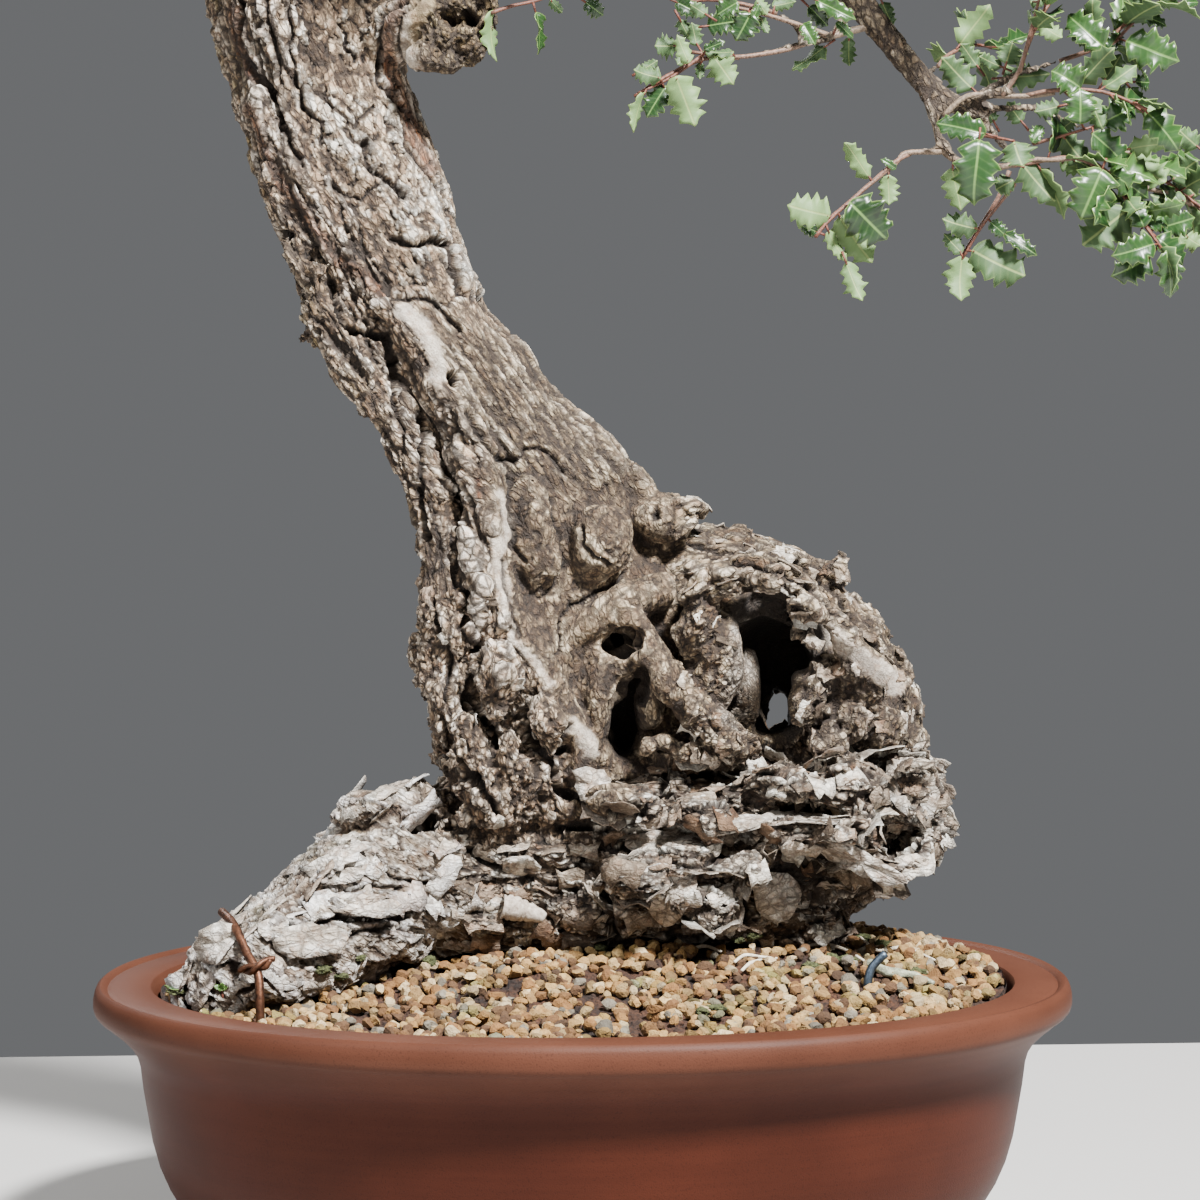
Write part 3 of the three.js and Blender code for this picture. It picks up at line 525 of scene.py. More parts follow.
ridges = {
    "paleEdge": ([(437, 386), (460, 405), (468, 422), (480, 445), (491, 473), (494, 506), (496, 537),
                  (499, 574), (506, 602), (513, 635), (533, 658), (550, 686)], 9, 2.4),
    "paleEdgeBack": ([(420, 395), (440, 420), (455, 450), (468, 500), (474, 560), (482, 620), (505, 670)],
                      18, 4),
    "brow": ([(560, 648), (581, 627), (603, 613), (628, 598), (664, 588)], 17, 3),
    "wedge": ([(569, 722), (584, 740), (600, 757)], 9, 3),
    "archRim": ([(690, 570), (740, 575), (790, 592), (820, 615), (846, 640)], 9, 3),
    "swirlOne": ([(346, 150), (362, 172), (385, 190), (380, 215), (350, 222)], 9, 2),
    "swirlTwo": ([(395, 215), (412, 232), (436, 228)], 9, 3),
    "flap": ([(452, 250), (462, 275), (478, 292)], 8, 4),
    "rightRim": ([(520, 335), (552, 372), (590, 425), (625, 462), (650, 490)], 8, 3),
    "stripBark": ([(250, 20), (262, 90), (290, 160), (330, 240), (372, 300)], 14, 3),
}
pits = {
    "branchHole": ((455, 377), (7, 7), 14), "pocket": ((424, 822), (26, 9), 12),
    "burrHollow": ((470, 18), (9, 7), 9), "underBrow": ((624, 645), (20, 14), 10),
    "cave": ((624, 715), (13, 34), 16), "plateUnder": ((905, 850), (22, 12), 9),
    "leftPit": ((468, 700), (6, 14), 8), "besideLump": ((655, 512), (6, 10), 6),
    "archShade": ((796, 640), (18, 40), 6), "lowRecess": ((800, 880), (40, 26), 7),
    "blackGap": ((470, 780), (10, 8), 6),
}
bareWood = {
    "lens": ([(402, 309), (419, 323), (433, 345), (437, 373)], 9),
    "lensTwo": ([(499, 494), (506, 512), (507, 537), (501, 550)], 6),
    "greyStrip": ([(424, 0), (409, 31), (406, 56), (416, 81), (422, 112)], 9),
    "archStrip": ([(825, 631), (848, 648), (876, 666), (895, 684)], 11),
    "edgeLow": ([(513, 640), (533, 660), (548, 684)], 4.5),
    "edgeMid": ([(496, 540), (499, 574), (506, 602)], 6),
    "wedgeFace": ([(572, 724), (592, 750)], 7),
}
rustLines = {
    "high": ([(232, 10), (237, 36), (240, 53), (254, 76), (264, 84)], 6),
    "low": ([(250, 107), (261, 135), (270, 163), (284, 188), (301, 208), (320, 236), (337, 261),
             (360, 272), (382, 295)], 6),
    "strip": ([(404, 0), (389, 25), (387, 56), (396, 84), (409, 112), (418, 146), (430, 168)], 9),
    "fleck": ([(478, 480), (480, 497)], 3),
}


def blurred(values, edges, rounds):
    count = len(values)
    first, second = edges[:, 0], edges[:, 1]
    weight = np.bincount(first, minlength=count) + np.bincount(second, minlength=count) + 1.0
    flat = values.reshape(count, -1).astype(float)
    for _ in range(rounds):
        total = flat.copy()
        for k in range(flat.shape[1]):
            total[:, k] += (np.bincount(first, flat[second, k], count)
                            + np.bincount(second, flat[first, k], count))
        flat = total / weight[:, None]
    return flat.reshape(values.shape)


def strokeReach(pixels, line):
    best = np.full(len(pixels), 1e9, np.float32)
    for (ax, ay), (bx, by) in zip(line[:-1], line[1:]):
        way = np.array([bx - ax, by - ay], np.float32)
        share = np.clip(((pixels - [ax, ay]) @ way) / (way @ way), 0, 1)
        gap = pixels - [ax, ay] - share[:, None] * way
        best = np.minimum(best, np.hypot(gap[:, 0], gap[:, 1]))
    return best


def ellipseReach(pixels, centre, radii):
    return np.hypot((pixels[:, 0] - centre[0]) / radii[0], (pixels[:, 1] - centre[1]) / radii[1])


# The outline that the front shows, as pixels down and across, and how far bark stands past the wood under it
outline = {
    "right": [(140, 425), (180, 440), (220, 459), (260, 475), (300, 490), (320, 504), (340, 529),
              (380, 555), (400, 573), (440, 613), (480, 645), (500, 684), (520, 730), (540, 796),
              (560, 829), (580, 842), (600, 863), (640, 895), (680, 917), (700, 924), (740, 921),
              (760, 933), (780, 944), (840, 950), (860, 925), (880, 900), (900, 861), (940, 850)],
    "left": [(0, 212), (25, 197), (65, 206), (105, 215), (145, 226), (185, 236), (225, 264), (265, 275),
             (305, 299), (345, 308), (385, 328), (425, 368), (465, 388), (505, 405), (545, 414),
             (605, 417), (665, 409), (705, 427), (745, 426), (785, 452), (800, 380), (805, 356),
             (825, 327), (845, 305), (865, 284), (885, 266), (905, 248), (925, 211), (945, 190),
             (965, 180), (1010, 176)],
    "proud": 4.0,
}

# Swellings and hollows that the front shows:
# pixel across and down, depth, half width, half depth, half height
swellings = {
    "flangeOne": (806, 706, 4, 8, 10, 10), "flangeTwo": (830, 678, 5, 11, 10, 9),
    "flangeThree": (850, 714, 6, 11, 10, 12), "flangeFour": (828, 742, 2, 10, 10, 6),
    "flangeFive": (868, 690, 8, 10, 10, 12), "flangeSix": (886, 728, 12, 9, 12, 10),
    "flangeSeven": (802, 680, 8, 5, 8, 5), "cornerLump": (680, 510, 26, 10, 14, 6),
    "shoulder": (659, 521, 28, 15, 19, 12), "shoulderHigh": (635, 492, 33, 8, 12, 13),
    "skyTwo": (832, 572, 40, 7, 12, 6), "skyThree": (872, 632, 38, 6, 12, 7),
    "skyFour": (900, 690, 32, 6, 12, 8), "rightPlate": (914, 792, 10, 13, 14, 15),
    "coralOne": (496, 680, -14, 11, 8, 16), "coralTwo": (546, 718, -18, 8, 7, 10),
    "coralThree": (452, 632, -4, 8, 9, 15), "coralFour": (470, 745, -10, 8, 9, 15),
    "coralFive": (512, 760, -16, 7, 7, 12), "knobHigh": (531, 502, -3, 8.5, 4, 13),
    "knobLow": (551, 562, -6, 5.5, 3.4, 7.5), "humpOne": (404, 802, 2, 11, 12, 9),
    "humpTwo": (366, 806, -8, 12, 10, 7), "caveWall": (598, 690, 4, 7, 12, 26),
    "caveLump": (622, 664, 4, 12, 10, 8), "caveLumpTwo": (612, 690, 4, 8, 9, 8),
    "hollowWall": (712, 664, 4, 13, 13, 25), "hollowBack": (746, 688, 16, 7, 12, 20),
    "hollowWallTwo": (698, 628, 0, 10, 12, 12), "rimOne": (732, 590, -4, 5, 6, 3),
    "rimTwo": (756, 582, -5, 5, 6, 3), "rimThree": (782, 584, -5, 5, 6, 3),
    "caveRight": (650, 700, 8, 7, 14, 14), "lowLump": (646, 746, -8, 5, 6, 4.5),
    "lowLumpTwo": (735, 744, -4, 8, 8, 5), "lowLumpThree": (664, 742, -7, 5, 6, 4),
    "lowLumpFour": (684, 752, -8, 6, 6, 4.5), "lowLumpFive": (704, 750, -7, 5, 6, 4),
    "wedge": (582, 748, -6, 6, 5, 10), "burrOne": (424, 56, 2, 8, 8, 7), "burrTwo": (446, 62, 5, 8, 8, 6),
    "burrThree": (468, 50, 8, 8, 9, 7), "burrFour": (484, 30, 12, 6, 9, 8),
    "burrFive": (488, 6, 12, 5, 9, 8), "burrSix": (440, 38, 0, 7, 5, 6),
    "burrSeven": (466, 34, 2, 5, 6, 4), "lipOne": (820, 830, -24, 26, 10, 4),
    "lipTwo": (880, 868, -14, 16, 12, 4), "lipThree": (690, 866, -26, 28, 10, 4),
    "blockOne": (620, 800, -22, 16, 9, 8), "blockTwo": (700, 812, -22, 14, 9, 8),
    "blockThree": (780, 785, -16, 16, 9, 7), "blockFour": (850, 790, -10, 14, 10, 9),
    "blockFive": (630, 880, -28, 13, 8, 9), "blockSix": (700, 900, -26, 13, 8, 9),
}
hollows = {
    "mouthTop": (772, 604, -4, 24, 26, 12), "mouthRight": (812, 640, 0, 9, 20, 10),
    "notch": (907, 752, 24, 8, 30, 5), "underLip": (806, 862, -20, 30, 12, 8),
    "slotOne": (606, 908, -24, 4, 16, 11), "caveLow": (627, 728, -6, 7, 22, 12),
    "caveHigh": (626, 634, -6, 10, 14, 4), "caveSide": (642, 686, -6, 4, 16, 10),
    "rootPocket": (424, 826, -2, 13, 14, 6), "plateUnder": (900, 842, 0, 14, 16, 7),
    "slotTwo": (708, 780, -18, 13, 10, 3), "slotThree": (566, 790, -18, 4, 12, 9),
    "flangeGap": (838, 700, -6, 3, 8, 12), "flangeGapTwo": (868, 720, -4, 3, 9, 8),
    "flangeGapThree": (820, 728, -4, 5, 8, 3), "underBlocks": (650, 838, -28, 36, 8, 3),
    "slotFour": (745, 898, -26, 4, 12, 9), "coralGap": (524, 730, -20, 3, 10, 16),
    "coralGapTwo": (474, 700, -14, 3, 10, 14), "burrHollow": (458, 17, -2, 9, 12, 4.5),
    "behindWedge": (566, 760, -16, 4, 9, 10),
}
braces = {  # roots that cross over: pixel across and down, depth, radius
    "overCave": [(622, 606, 2, 7), (638, 634, -4, 8), (655, 668, -9, 7.5), (680, 700, -12, 7),
                 (706, 722, -12, 6.5), (734, 742, -8, 6)],
    "brow": [(560, 660, 8, 6), (582, 634, 4, 6.5), (606, 614, 3, 7.5), (632, 600, 5, 8), (668, 588, 9, 7)],
    "archRim": [(690, 600, -2, 6), (715, 580, -4, 6), (760, 570, -4, 6.5), (800, 588, -4, 7),
                (826, 622, -4, 7), (852, 652, -4, 7), (882, 680, 0, 8)],
}


# Loose chunks of bark, by region: how many, length along the grain, width, thickness,
# and how proud and tilted
chunks = {
    "base": {"count": 420, "long": (14, 30), "wide": (8, 15), "thick": (6, 10), "proud": (-1.0, 4.6),
             "tilt": 24},
    "dome": {"count": 320, "long": (9, 22), "wide": (5, 10), "thick": (4, 7), "proud": (-0.8, 2.6),
             "tilt": 14},
    "coral": {"count": 200, "long": (8, 15), "wide": (6, 11), "thick": (5, 8), "proud": (0, 4.0),
              "tilt": 14},
    "furrowed": {"count": 620, "long": (9, 24), "wide": (5, 8.5), "thick": (4, 6), "proud": (-1.0, 2.4),
                 "tilt": 8},
    "root": {"count": 230, "long": (14, 34), "wide": (8, 16), "thick": (3, 5), "proud": (-0.6, 1.8),
             "tilt": 12},
}
# Papery flakes that lift off the bark: how many, length, height, and how far the free edge stands off
flakes = {
    "base": {"count": 460, "long": (7, 20), "high": (4, 10), "lift": (0.4, 3.2)},
    "dome": {"count": 200, "long": (5, 12), "high": (3, 6), "lift": (0.2, 1.6)},
    "coral": {"count": 110, "long": (4, 9), "high": (3, 6), "lift": (0.2, 1.6)},
    "root": {"count": 330, "long": (8, 24), "high": (4, 11), "lift": (0.2, 2.2)},
}


def regionsOf(points, normals):
    x, y, z = points.T
    px, row = toPixels(points).T
    axisX = np.interp(z, trunkAxis[:, 2], trunkAxis[:, 0])
    axisY = np.interp(z, trunkAxis[:, 2], trunkAxis[:, 1])
    radius = np.interp(z, trunkAxis[:, 2], trunkAxis[:, 3])
    wavy = fractal(points / 9, 70, 3)
    away = np.stack([x - axisX, y - axisY], 1)
    root = smooth(-56, -74, x + 0.35 * (z - 190) + 4 * wavy) * smooth(222, 212, z)
    baseTop = np.interp(x, [-60, 0, 30, 170], [182, 190, 218, 226]) + 6 * wavy
    base = smooth(6, -6, z - baseTop) * (1 - root)
    dome = smooth(34, 50, x + 5 * wavy) * (1 - base) * smooth(352, 338, z) * (1 - root)
    branch = smooth(1.2, 1.5, np.hypot(away[:, 0], away[:, 1]) / radius) * smooth(420, 450, z)
    trunk = np.clip(1 - root - dome - base - branch, 0, 1)
    fromHollow = np.stack([x - wood["hollow"][0], z - wood["hollow"][1]], 1)
    span = np.hypot(fromHollow[:, 0], fromHollow[:, 1])
    inward = fromHollow / (span[:, None] + 1e-6)
    facing = normals[:, 0] * inward[:, 0] + normals[:, 2] * inward[:, 1]
    inner = smooth(0.0, -0.4, facing) * smooth(56, 48, span) * smooth(-6, 4, y)
    seen = smooth(1.15, 0.95, np.hypot((px - 772) / 54, (row - 642) / 54)) * smooth(-8, 4, y)
    inner = np.maximum(inner, seen * np.maximum(smooth(60, 40, y), smooth(0.3, -0.1, normals[:, 1])))
    cave = smooth(1.15, 0.8, np.hypot((x - 19) / 13, (z - 249) / 30)) * smooth(-5, 3, y) * smooth(40, 34, y)
    seam = np.interp(row, seamRows, seamAcross)
    leftFront = smooth(7, -7, px - seam + 4 * wavy)
    edgeway = smooth(-5, 25, y - axisY)
    behind = np.clip(0.55 + 0.6 * noise(points / 60, 95), 0, 1)
    rugged = leftFront * (1 - edgeway) + np.maximum(behind, leftFront * smooth(60, 20, y - axisY)) * edgeway
    rugged = np.clip(rugged, 0, 1) * trunk * (1 - cave)
    calm = np.clip(trunk - rugged, 0, 1)
    shallow = smooth(308, 290, z)
    return {"root": root, "base": base, "dome": dome * (1 - inner), "branch": branch, "inner": inner,
            "cave": cave, "coral": rugged * shallow, "furrowed": rugged * (1 - shallow), "calm": calm,
            "rugged": rugged, "wavy": wavy, "away": away}


def addBlob(name, across, down, depth, halfX, halfY, halfZ):
    blob = newBall(3, mm)
    blob.name = name
    shape = placesOf(blob) / mm
    shape *= (1 + 0.24 * fractal(shape * 1.5, int(down), 3))[:, None]
    setPlaces(blob, inFrame(shape * [halfX, halfY, halfZ] + fromPixel(across, down, depth)))
    return blob


def joinInto(piece, others):
    bpy.ops.object.select_all(action="DESELECT")
    for other in others:
        other.select_set(True)
    piece.select_set(True)
    bpy.context.view_layer.objects.active = piece
    bpy.ops.object.join()


def voxelSkin(piece, size):
    addModifier(piece, "REMESH", mode="VOXEL", voxel_size=size * mm)
    applyModifiers(piece)


# Moves each side of the wood so that its edge, seen from the front, falls on the outline
def fitOutline(piece):
    points = fromFrame(placesOf(piece))
    pixels = toPixels(points)
    across, down = pixels.T
    middle = toPixels(trunkAxis[:, :3])
    trunkAcross = np.interp(down, middle[::-1, 1][::-1], middle[::-1, 0][::-1])
    thick = np.interp(points[:, 2], trunkAxis[:, 2], trunkAxis[:, 3])
    onTrunk = (np.abs(across - trunkAcross) * photo["pixel"] < 1.5 * thick) | (down > 505)
    moved = np.zeros(len(points))
    for side, way in (("right", 1), ("left", -1)):
        target = np.array(outline[side], float)
        inner = np.where(down > 490, 700, trunkAcross) if way > 0 else np.where(down > 790, 500, trunkAcross)
        steps = np.arange(target[0, 0], target[-1, 0] + 1, 10.0)
        edge = np.full(len(steps), np.nan)
        for k, step in enumerate(steps):
            here = onTrunk & (np.abs(down - step) < 6) & (way * (across - inner) > 0)
            if here.any():
                edge[k] = (across[here] * way).max() * way
        known = ~np.isnan(edge)
        edge = np.interp(steps, steps[known], edge[known])
        wanted = np.interp(steps, target[:, 0], target[:, 1]) - way * outline["proud"]
        shift = np.clip(wanted - edge, -60, 60)
        shift = np.interp(down, steps, np.convolve(np.pad(shift, 1, "edge"), [0.25, 0.5, 0.25], "valid"))
        reach = (across - inner) / (np.interp(down, steps, edge) - inner)
        weight = smooth(0.1, 0.95, reach) * (way * (across - inner) > 0) * onTrunk
        weight *= smooth(target[0, 0] - 30, target[0, 0] + 10, down)
        if way > 0:  # the edge passes from the trunk to the dome
            weight *= np.where(down < 490, smooth(492, 455, down), smooth(488, 512, down))
        moved += shift * weight
    points += photo["pixel"] * moved[:, None] * rightward
    setPlaces(piece, inFrame(points))


def addBrace(name, line):
    path = smoothPath([fromPixel(*stop[:3]) for stop in line])
    points, faces = tubeAlong(path, [stop[3] for stop in line], 20)
    points += np.stack([1.3 * noise(points / 7, 90 + k) + 0.8 * noise(points / 2.6, 94 + k)
                        for k in range(3)], 1)
    return meshFrom(name, [(points, faces)])


def carveHollows(piece):
    points = fromFrame(placesOf(piece))
    inward = -blurred(normalsOf(piece), edgesOf(piece), 8)
    inward /= np.linalg.norm(inward, axis=1)[:, None] + 1e-9
    for across, down, depth, *halves in hollows.values():
        place = (points - fromPixel(across, down, depth)) / halves
        place /= (1 + 0.4 * fractal(place * 1.6, int(down), 3))[:, None]
        inside = np.nonzero((place ** 2).sum(1) < 1)[0]
        way = inward[inside] / halves
        a, b = (way ** 2).sum(1), (place[inside] * way).sum(1)
        c = (place[inside] ** 2).sum(1) - 1
        points[inside] += ((-b + np.sqrt(b * b - a * c)) / a)[:, None] * inward[inside]
    setPlaces(piece, inFrame(points))


def softenThick(piece):
    points = fromFrame(placesOf(piece))
    axisX = np.interp(points[:, 2], trunkAxis[:, 2], trunkAxis[:, 0])
    radius = np.interp(points[:, 2], trunkAxis[:, 2], trunkAxis[:, 3])
    thick = smooth(1.5, 1.1, np.abs(points[:, 0] - axisX) / radius) + smooth(350, 330, points[:, 2])
    thick = np.clip(thick, 0, 1) * smooth(112, 118, points[:, 2])
    group = piece.vertex_groups.new(name="thick")
    for level in range(1, 6):
        chosen = np.nonzero((thick * 5).round() == level)[0]
        group.add([int(i) for i in chosen], level / 5, "REPLACE")
    addModifier(piece, "SMOOTH", factor=0.6, iterations=wood["softening"], vertex_group="thick")
    applyModifiers(piece)
    piece.vertex_groups.clear()


def makeWood():
    piece = copyNode("tree", "tree_wood")
    startEditing(piece)
    bpy.ops.mesh.bisect(plane_co=(0, 0, wood["foot"] * mm), plane_no=(0, 0, -1), use_fill=True,
                        clear_outer=True)
    stopEditing()
    voxelSkin(piece, wood["voxel"] * 1.4)
    softenThick(piece)
    fitOutline(piece)
    joinInto(piece, [addBlob(name, *shape) for name, shape in swellings.items()]
             + [addBrace(name, line) for name, line in braces.items()])
    voxelSkin(piece, wood["voxel"] * 1.3)
    addModifier(piece, "SMOOTH", iterations=3)
    applyModifiers(piece)
    carveHollows(piece)
    joinInto(piece, [makeChunks(piece)])
    voxelSkin(piece, wood["voxel"])
    addModifier(piece, "SMOOTH", iterations=1)
    applyModifiers(piece)
    startEditing(piece)
    for height in wood["cuts"]:  # loops of edges for the later cuts
        bpy.ops.mesh.select_all(action="SELECT")
        bpy.ops.mesh.bisect(plane_co=(0, 0, height * mm), plane_no=(0, 0, 1), use_fill=False,
                            threshold=1e-6)
    stopEditing()
    setAttribute(piece, "level", fromFrame(placesOf(piece))[:, 2])
    print("skin of", len(piece.data.vertices), "points")
    return piece


def grainWay(region, point):
    if region in ("furrowed", "coral"):
        low, high = (np.interp(point[2] + d, trunkAxis[:, 2], trunkAxis[:, 0]) for d in (-15, 15))
        return unit([high - low, 0, 30])
    if region == "dome":
        return unit([point[2] - wood["dome"][1], 0, -(point[0] - wood["dome"][0])])
    if region == "root":
        return unit([-0.88, -0.47, -0.5])
    return np.array([1.0, 0.0, 0.0])


# Seats of loose bark, spaced apart, each with its normal and its way along the grain
def seatsOn(name, points, normals, order, kind, space, wander, rng):
    seats = np.empty((0, 3))
    for i in order:
        if len(seats) >= kind["count"]:
            break
        if len(seats) and (np.abs(seats - points[i]).max(1) < space).any():
            continue
        seats = np.vstack([seats, points[i]])
        normal = unit(normals[i])
        along = grainWay(name, points[i]) + rng.normal(0, wander, 3)
        yield points[i], normal, unit(along - np.dot(along, normal) * normal)
    print("bark pieces on the", name + ":", len(seats))


def makeChunks(piece):
    points = fromFrame(placesOf(piece)).astype(np.float32)
    normals = blurred(normalsOf(piece), edgesOf(piece), 4)
    regions = regionsOf(points, normals)
    rng = np.random.default_rng(31)
    shapes, faces, count = [], [], 0
    pixels = toPixels(points)
    kept = smooth(116, 124, points[:, 2])
    for line, width in bareWood.values():
        clear = smooth(width + 4, width + 10, strokeReach(pixels, line))
        kept *= clear * (points[:, 1] < 50) + (points[:, 1] >= 50)
    for name, kind in chunks.items():
        order = rng.permutation(np.nonzero(regions[name] * kept > 0.55)[0])
        space = 0.55 * sum(kind["wide"])
        for seat, normal, along in seatsOn(name, points, normals, order, kind, space, 0.12, rng):
            across = np.cross(normal, along)
            if across[2] < 0:
                across = -across
            lean = math.radians(rng.normal(kind["tilt"], kind["tilt"] * 0.6))
            top = math.cos(lean) * normal + math.sin(lean) * across
            across = math.cos(lean) * across - math.sin(lean) * normal
            size = [rng.uniform(*kind[key]) / 2 for key in ("long", "wide", "thick")]
            sides = 7
            turns = (np.arange(sides) + rng.uniform(-0.3, 0.3, sides)) * 2 * math.pi / sides
            corner = (np.abs(np.cos(turns)) ** 4 + np.abs(np.sin(turns)) ** 4) ** 0.25
            reach = rng.uniform(0.8, 1.1, sides) / corner
            ring = np.stack([np.cos(turns) * reach * size[0], np.sin(turns) * reach * size[1]], 1)
            centre = seat + normal * (rng.uniform(*kind["proud"]) - size[2])
            for lift, grow in ((size[2], 0.9), (-size[2], 1.04)):
                tops = lift + (rng.uniform(-0.5, 0.5, sides) if lift > 0 else 0)
                shapes.append(centre + grow * (ring[:, :1] * along + ring[:, 1:] * across)
                              + np.broadcast_to(tops, sides)[:, None] * top)
            upper, lower = np.arange(sides) + count, np.arange(sides) + count + sides
            turned = np.dot(np.cross(along, across), top) > 0
            quads = zip(upper, np.roll(upper, -1), lower, np.roll(lower, -1))
            sideFaces = [(a, c, d, b) for a, b, c, d in quads]
            block = [tuple(upper), tuple(lower[::-1])] + sideFaces
            faces += block if turned else [f[::-1] for f in block]
            count += 2 * sides
    return meshFrom("chunks", [(np.vstack(shapes), faces)])


# Colours of a bark by tone, from its cracks and recesses, dark partly as painted shade, to its worn faces
def palette(*hexColours):
    colours = np.array([linear(colour)[:3] for colour in hexColours])

    def pick(tone):
        return np.stack([np.interp(tone, (-1.0, -0.35, 0.1, 0.5, 1.0), colours[:, k]) for k in range(3)], 1)
    return pick


creamTone = palette("#281D14", "#62503E", "#B8A185", "#F2DEC2", "#FFFDF2")
greyTone = palette("#201711", "#483A2C", "#7E6B53", "#B4A384", "#ECDEC7")
furrowTone = palette("#211813", "#554637", "#B49B80", "#EAD4B6", "#FBF1E2")
warmTone = palette("#201711", "#49392B", "#79654F", "#A69377", "#DECDB0")
baseTone = palette("#231A13", "#4D3F30", "#9A8A77", "#DED1BF", "#FFFEF3")
paperTone = palette("#32261E", "#7A6B5A", "#DBD1C2", "#FFFDF5", "#FFFFFF")
# Where the rough left side of the trunk meets its calm face
seamRows = [0, 100, 150, 200, 250, 300, 340, 380, 400, 450, 500, 575, 640, 690, 740]
seamAcross = [295, 298, 308, 350, 385, 400, 425, 440, 458, 482, 493, 498, 520, 550, 566]


def dressWood(piece):
    points = fromFrame(placesOf(piece)).astype(np.float32)
    edges = edgesOf(piece)
    normals = blurred(normalsOf(piece), edges, 6)
    normals /= np.linalg.norm(normals, axis=1)[:, None] + 1e-9
    x, y, z = points.T
    pixels = toPixels(points)
    across = pixels[:, 0]
    where = regionsOf(points, normals)
    front = smooth(0.0, 0.35, -(normals @ ahead)) * smooth(66, 50, y)
    wavy, away = where["wavy"], where["away"]
    fine = fractal(points / 2.6, 80, 2)
    calmness = 1 - np.maximum(0.2 * where["inner"], 0.3 * where["cave"])

    domeX, domeZ = x - wood["dome"][0], z - wood["dome"][1]
    trunkGrain = np.stack([away[:, 0], away[:, 1], z], 1)
    domeGrain = np.stack([np.hypot(domeX, domeZ), y, np.arctan2(domeZ, domeX) * 62], 1)
    rootGrain = np.stack([0.47 * x - 0.88 * y, z + 0.55 * x, -0.88 * x - 0.47 * y], 1)
    baseGrain = np.stack([z, y, x], 1)
    main = [where["calm"] + where["rugged"] + where["branch"], where["dome"] + where["inner"], where["root"],
            where["base"]]
    choice = np.argmax(np.stack(main), 0)
    grain = np.choose(choice[:, None], [trunkGrain, domeGrain, rootGrain, baseGrain]).astype(np.float32)

    relief = np.zeros(len(points), np.float32)
    dark = np.zeros(len(points), np.float32)
    tone = np.zeros(len(points), np.float32)

    def lay(weight, size, seed, gap, depth, step, darkness, warp=0.3, dome=0.0, tilt=(0.0, 0.0, 0.0)):
        some = np.nonzero(weight > 0.02)[0]
        if not len(some):
            return
        scaled = grain[some] / np.array(size, np.float32)
        wander = np.stack([noise(scaled * 1.7 + 31 * k, seed + 50 + k) for k in range(3)], 1)
        ragged = np.stack([noise(scaled * 5.1 + 17 * k, seed + 60 + k) for k in range(3)], 1)
        border, lift, nearest, offset = cellPattern(scaled + warp * wander + 0.35 * warp * ragged, seed)
        crack = 1 - smooth(gap * 0.2, gap, border)
        share = weight[some]
        height = (step * (lift * 2 - 1) - depth * crack + dome * (0.5 - nearest ** 2 * 1.6)
                  + offset @ np.array(tilt))
        relief[some] += share * height
        dark[some] = np.maximum(dark[some], share * darkness * crack)
        tone[some] += share * 0.4 * (lift * 2 - 1) * (step > 0)

    calm, coral, furrowed, dome, base, root, rugged = (
        where[name] for name in ("calm", "coral", "furrowed", "dome", "base", "root", "rugged"))
    high = smooth(395, 430, z)
    middle = smooth(330, 352, z) * (1 - high)
    low = 1 - smooth(330, 352, z)
    lay(furrowed, (12, 12, 60), 1, 0.14, 2.2, 0.8, 0.8)
    lay(furrowed, (5, 5, 8), 3, 0.16, 0.9, 0.5, 0.7)
    lay(coral, (5, 5, 6), 5, 0.2, 1.0, 0.5, 0.6, 0.4, 0.6)
    lay(calm * high, (13, 13, 25), 6, 0.08, 1.7, 0.8, 0.95, 0.6)
    lay(calm * high, (5.5, 5.5, 9), 7, 0.08, 0.45, 0.25, 0.6, 0.5)
    lay(calm * middle, (6.5, 6.5, 34), 8, 0.18, 1.2, 0.5, 0.8)
    lay(calm * middle, (3.4, 3.4, 11), 9, 0.24, 0.7, 0.3, 0.65)
    lay(calm * low, (13, 13, 16), 10, 0.06, 0.8, 0.25, 0.9, 0.55)
    lay(calm * low, (4.6, 4.6, 5.6), 11, 0.09, 0.3, 0.1, 0.6, 0.4)
    lay(dome, (6, 7, 13), 13, 0.14, 1.1, 0.9, 0.8, 0.5)
    lay(base, (8, 10, 19), 15, 0.12, 1.6, 1.2, 0.9, 0.5, 0, (-1.8, 0, 0))
    lay(base, (3.2, 4, 6), 16, 0.14, 0.5, 0.35, 0.4, 0.5)
    lay(root, (7, 6, 16), 17, 0.1, 0.8, 0.7, 0.8, 0.5, 0, (0, -1.0, 0))
    lay(where["branch"], (4, 4, 9), 18, 0.22, 0.7, 0.25, 0.6)

    burr = smooth(1.15, 0.85, np.linalg.norm((points - [-58, 14, 548]) / [32, 26, 26], axis=1))
    burr = burr * smooth(404, 414, across)
    lay(burr, (4, 4, 5), 21, 0.2, 1.6, 0.8, 0.8, 0.5, 0.6)

    uneven = 0.25 + 0.75 * np.clip(rugged + base + dome + 0.4 * root, 0, 1)
    relief += uneven * (0.6 * wavy + 0.35 * fine) * (1 - 0.6 * where["branch"])
    relief *= calmness
    dark *= calmness
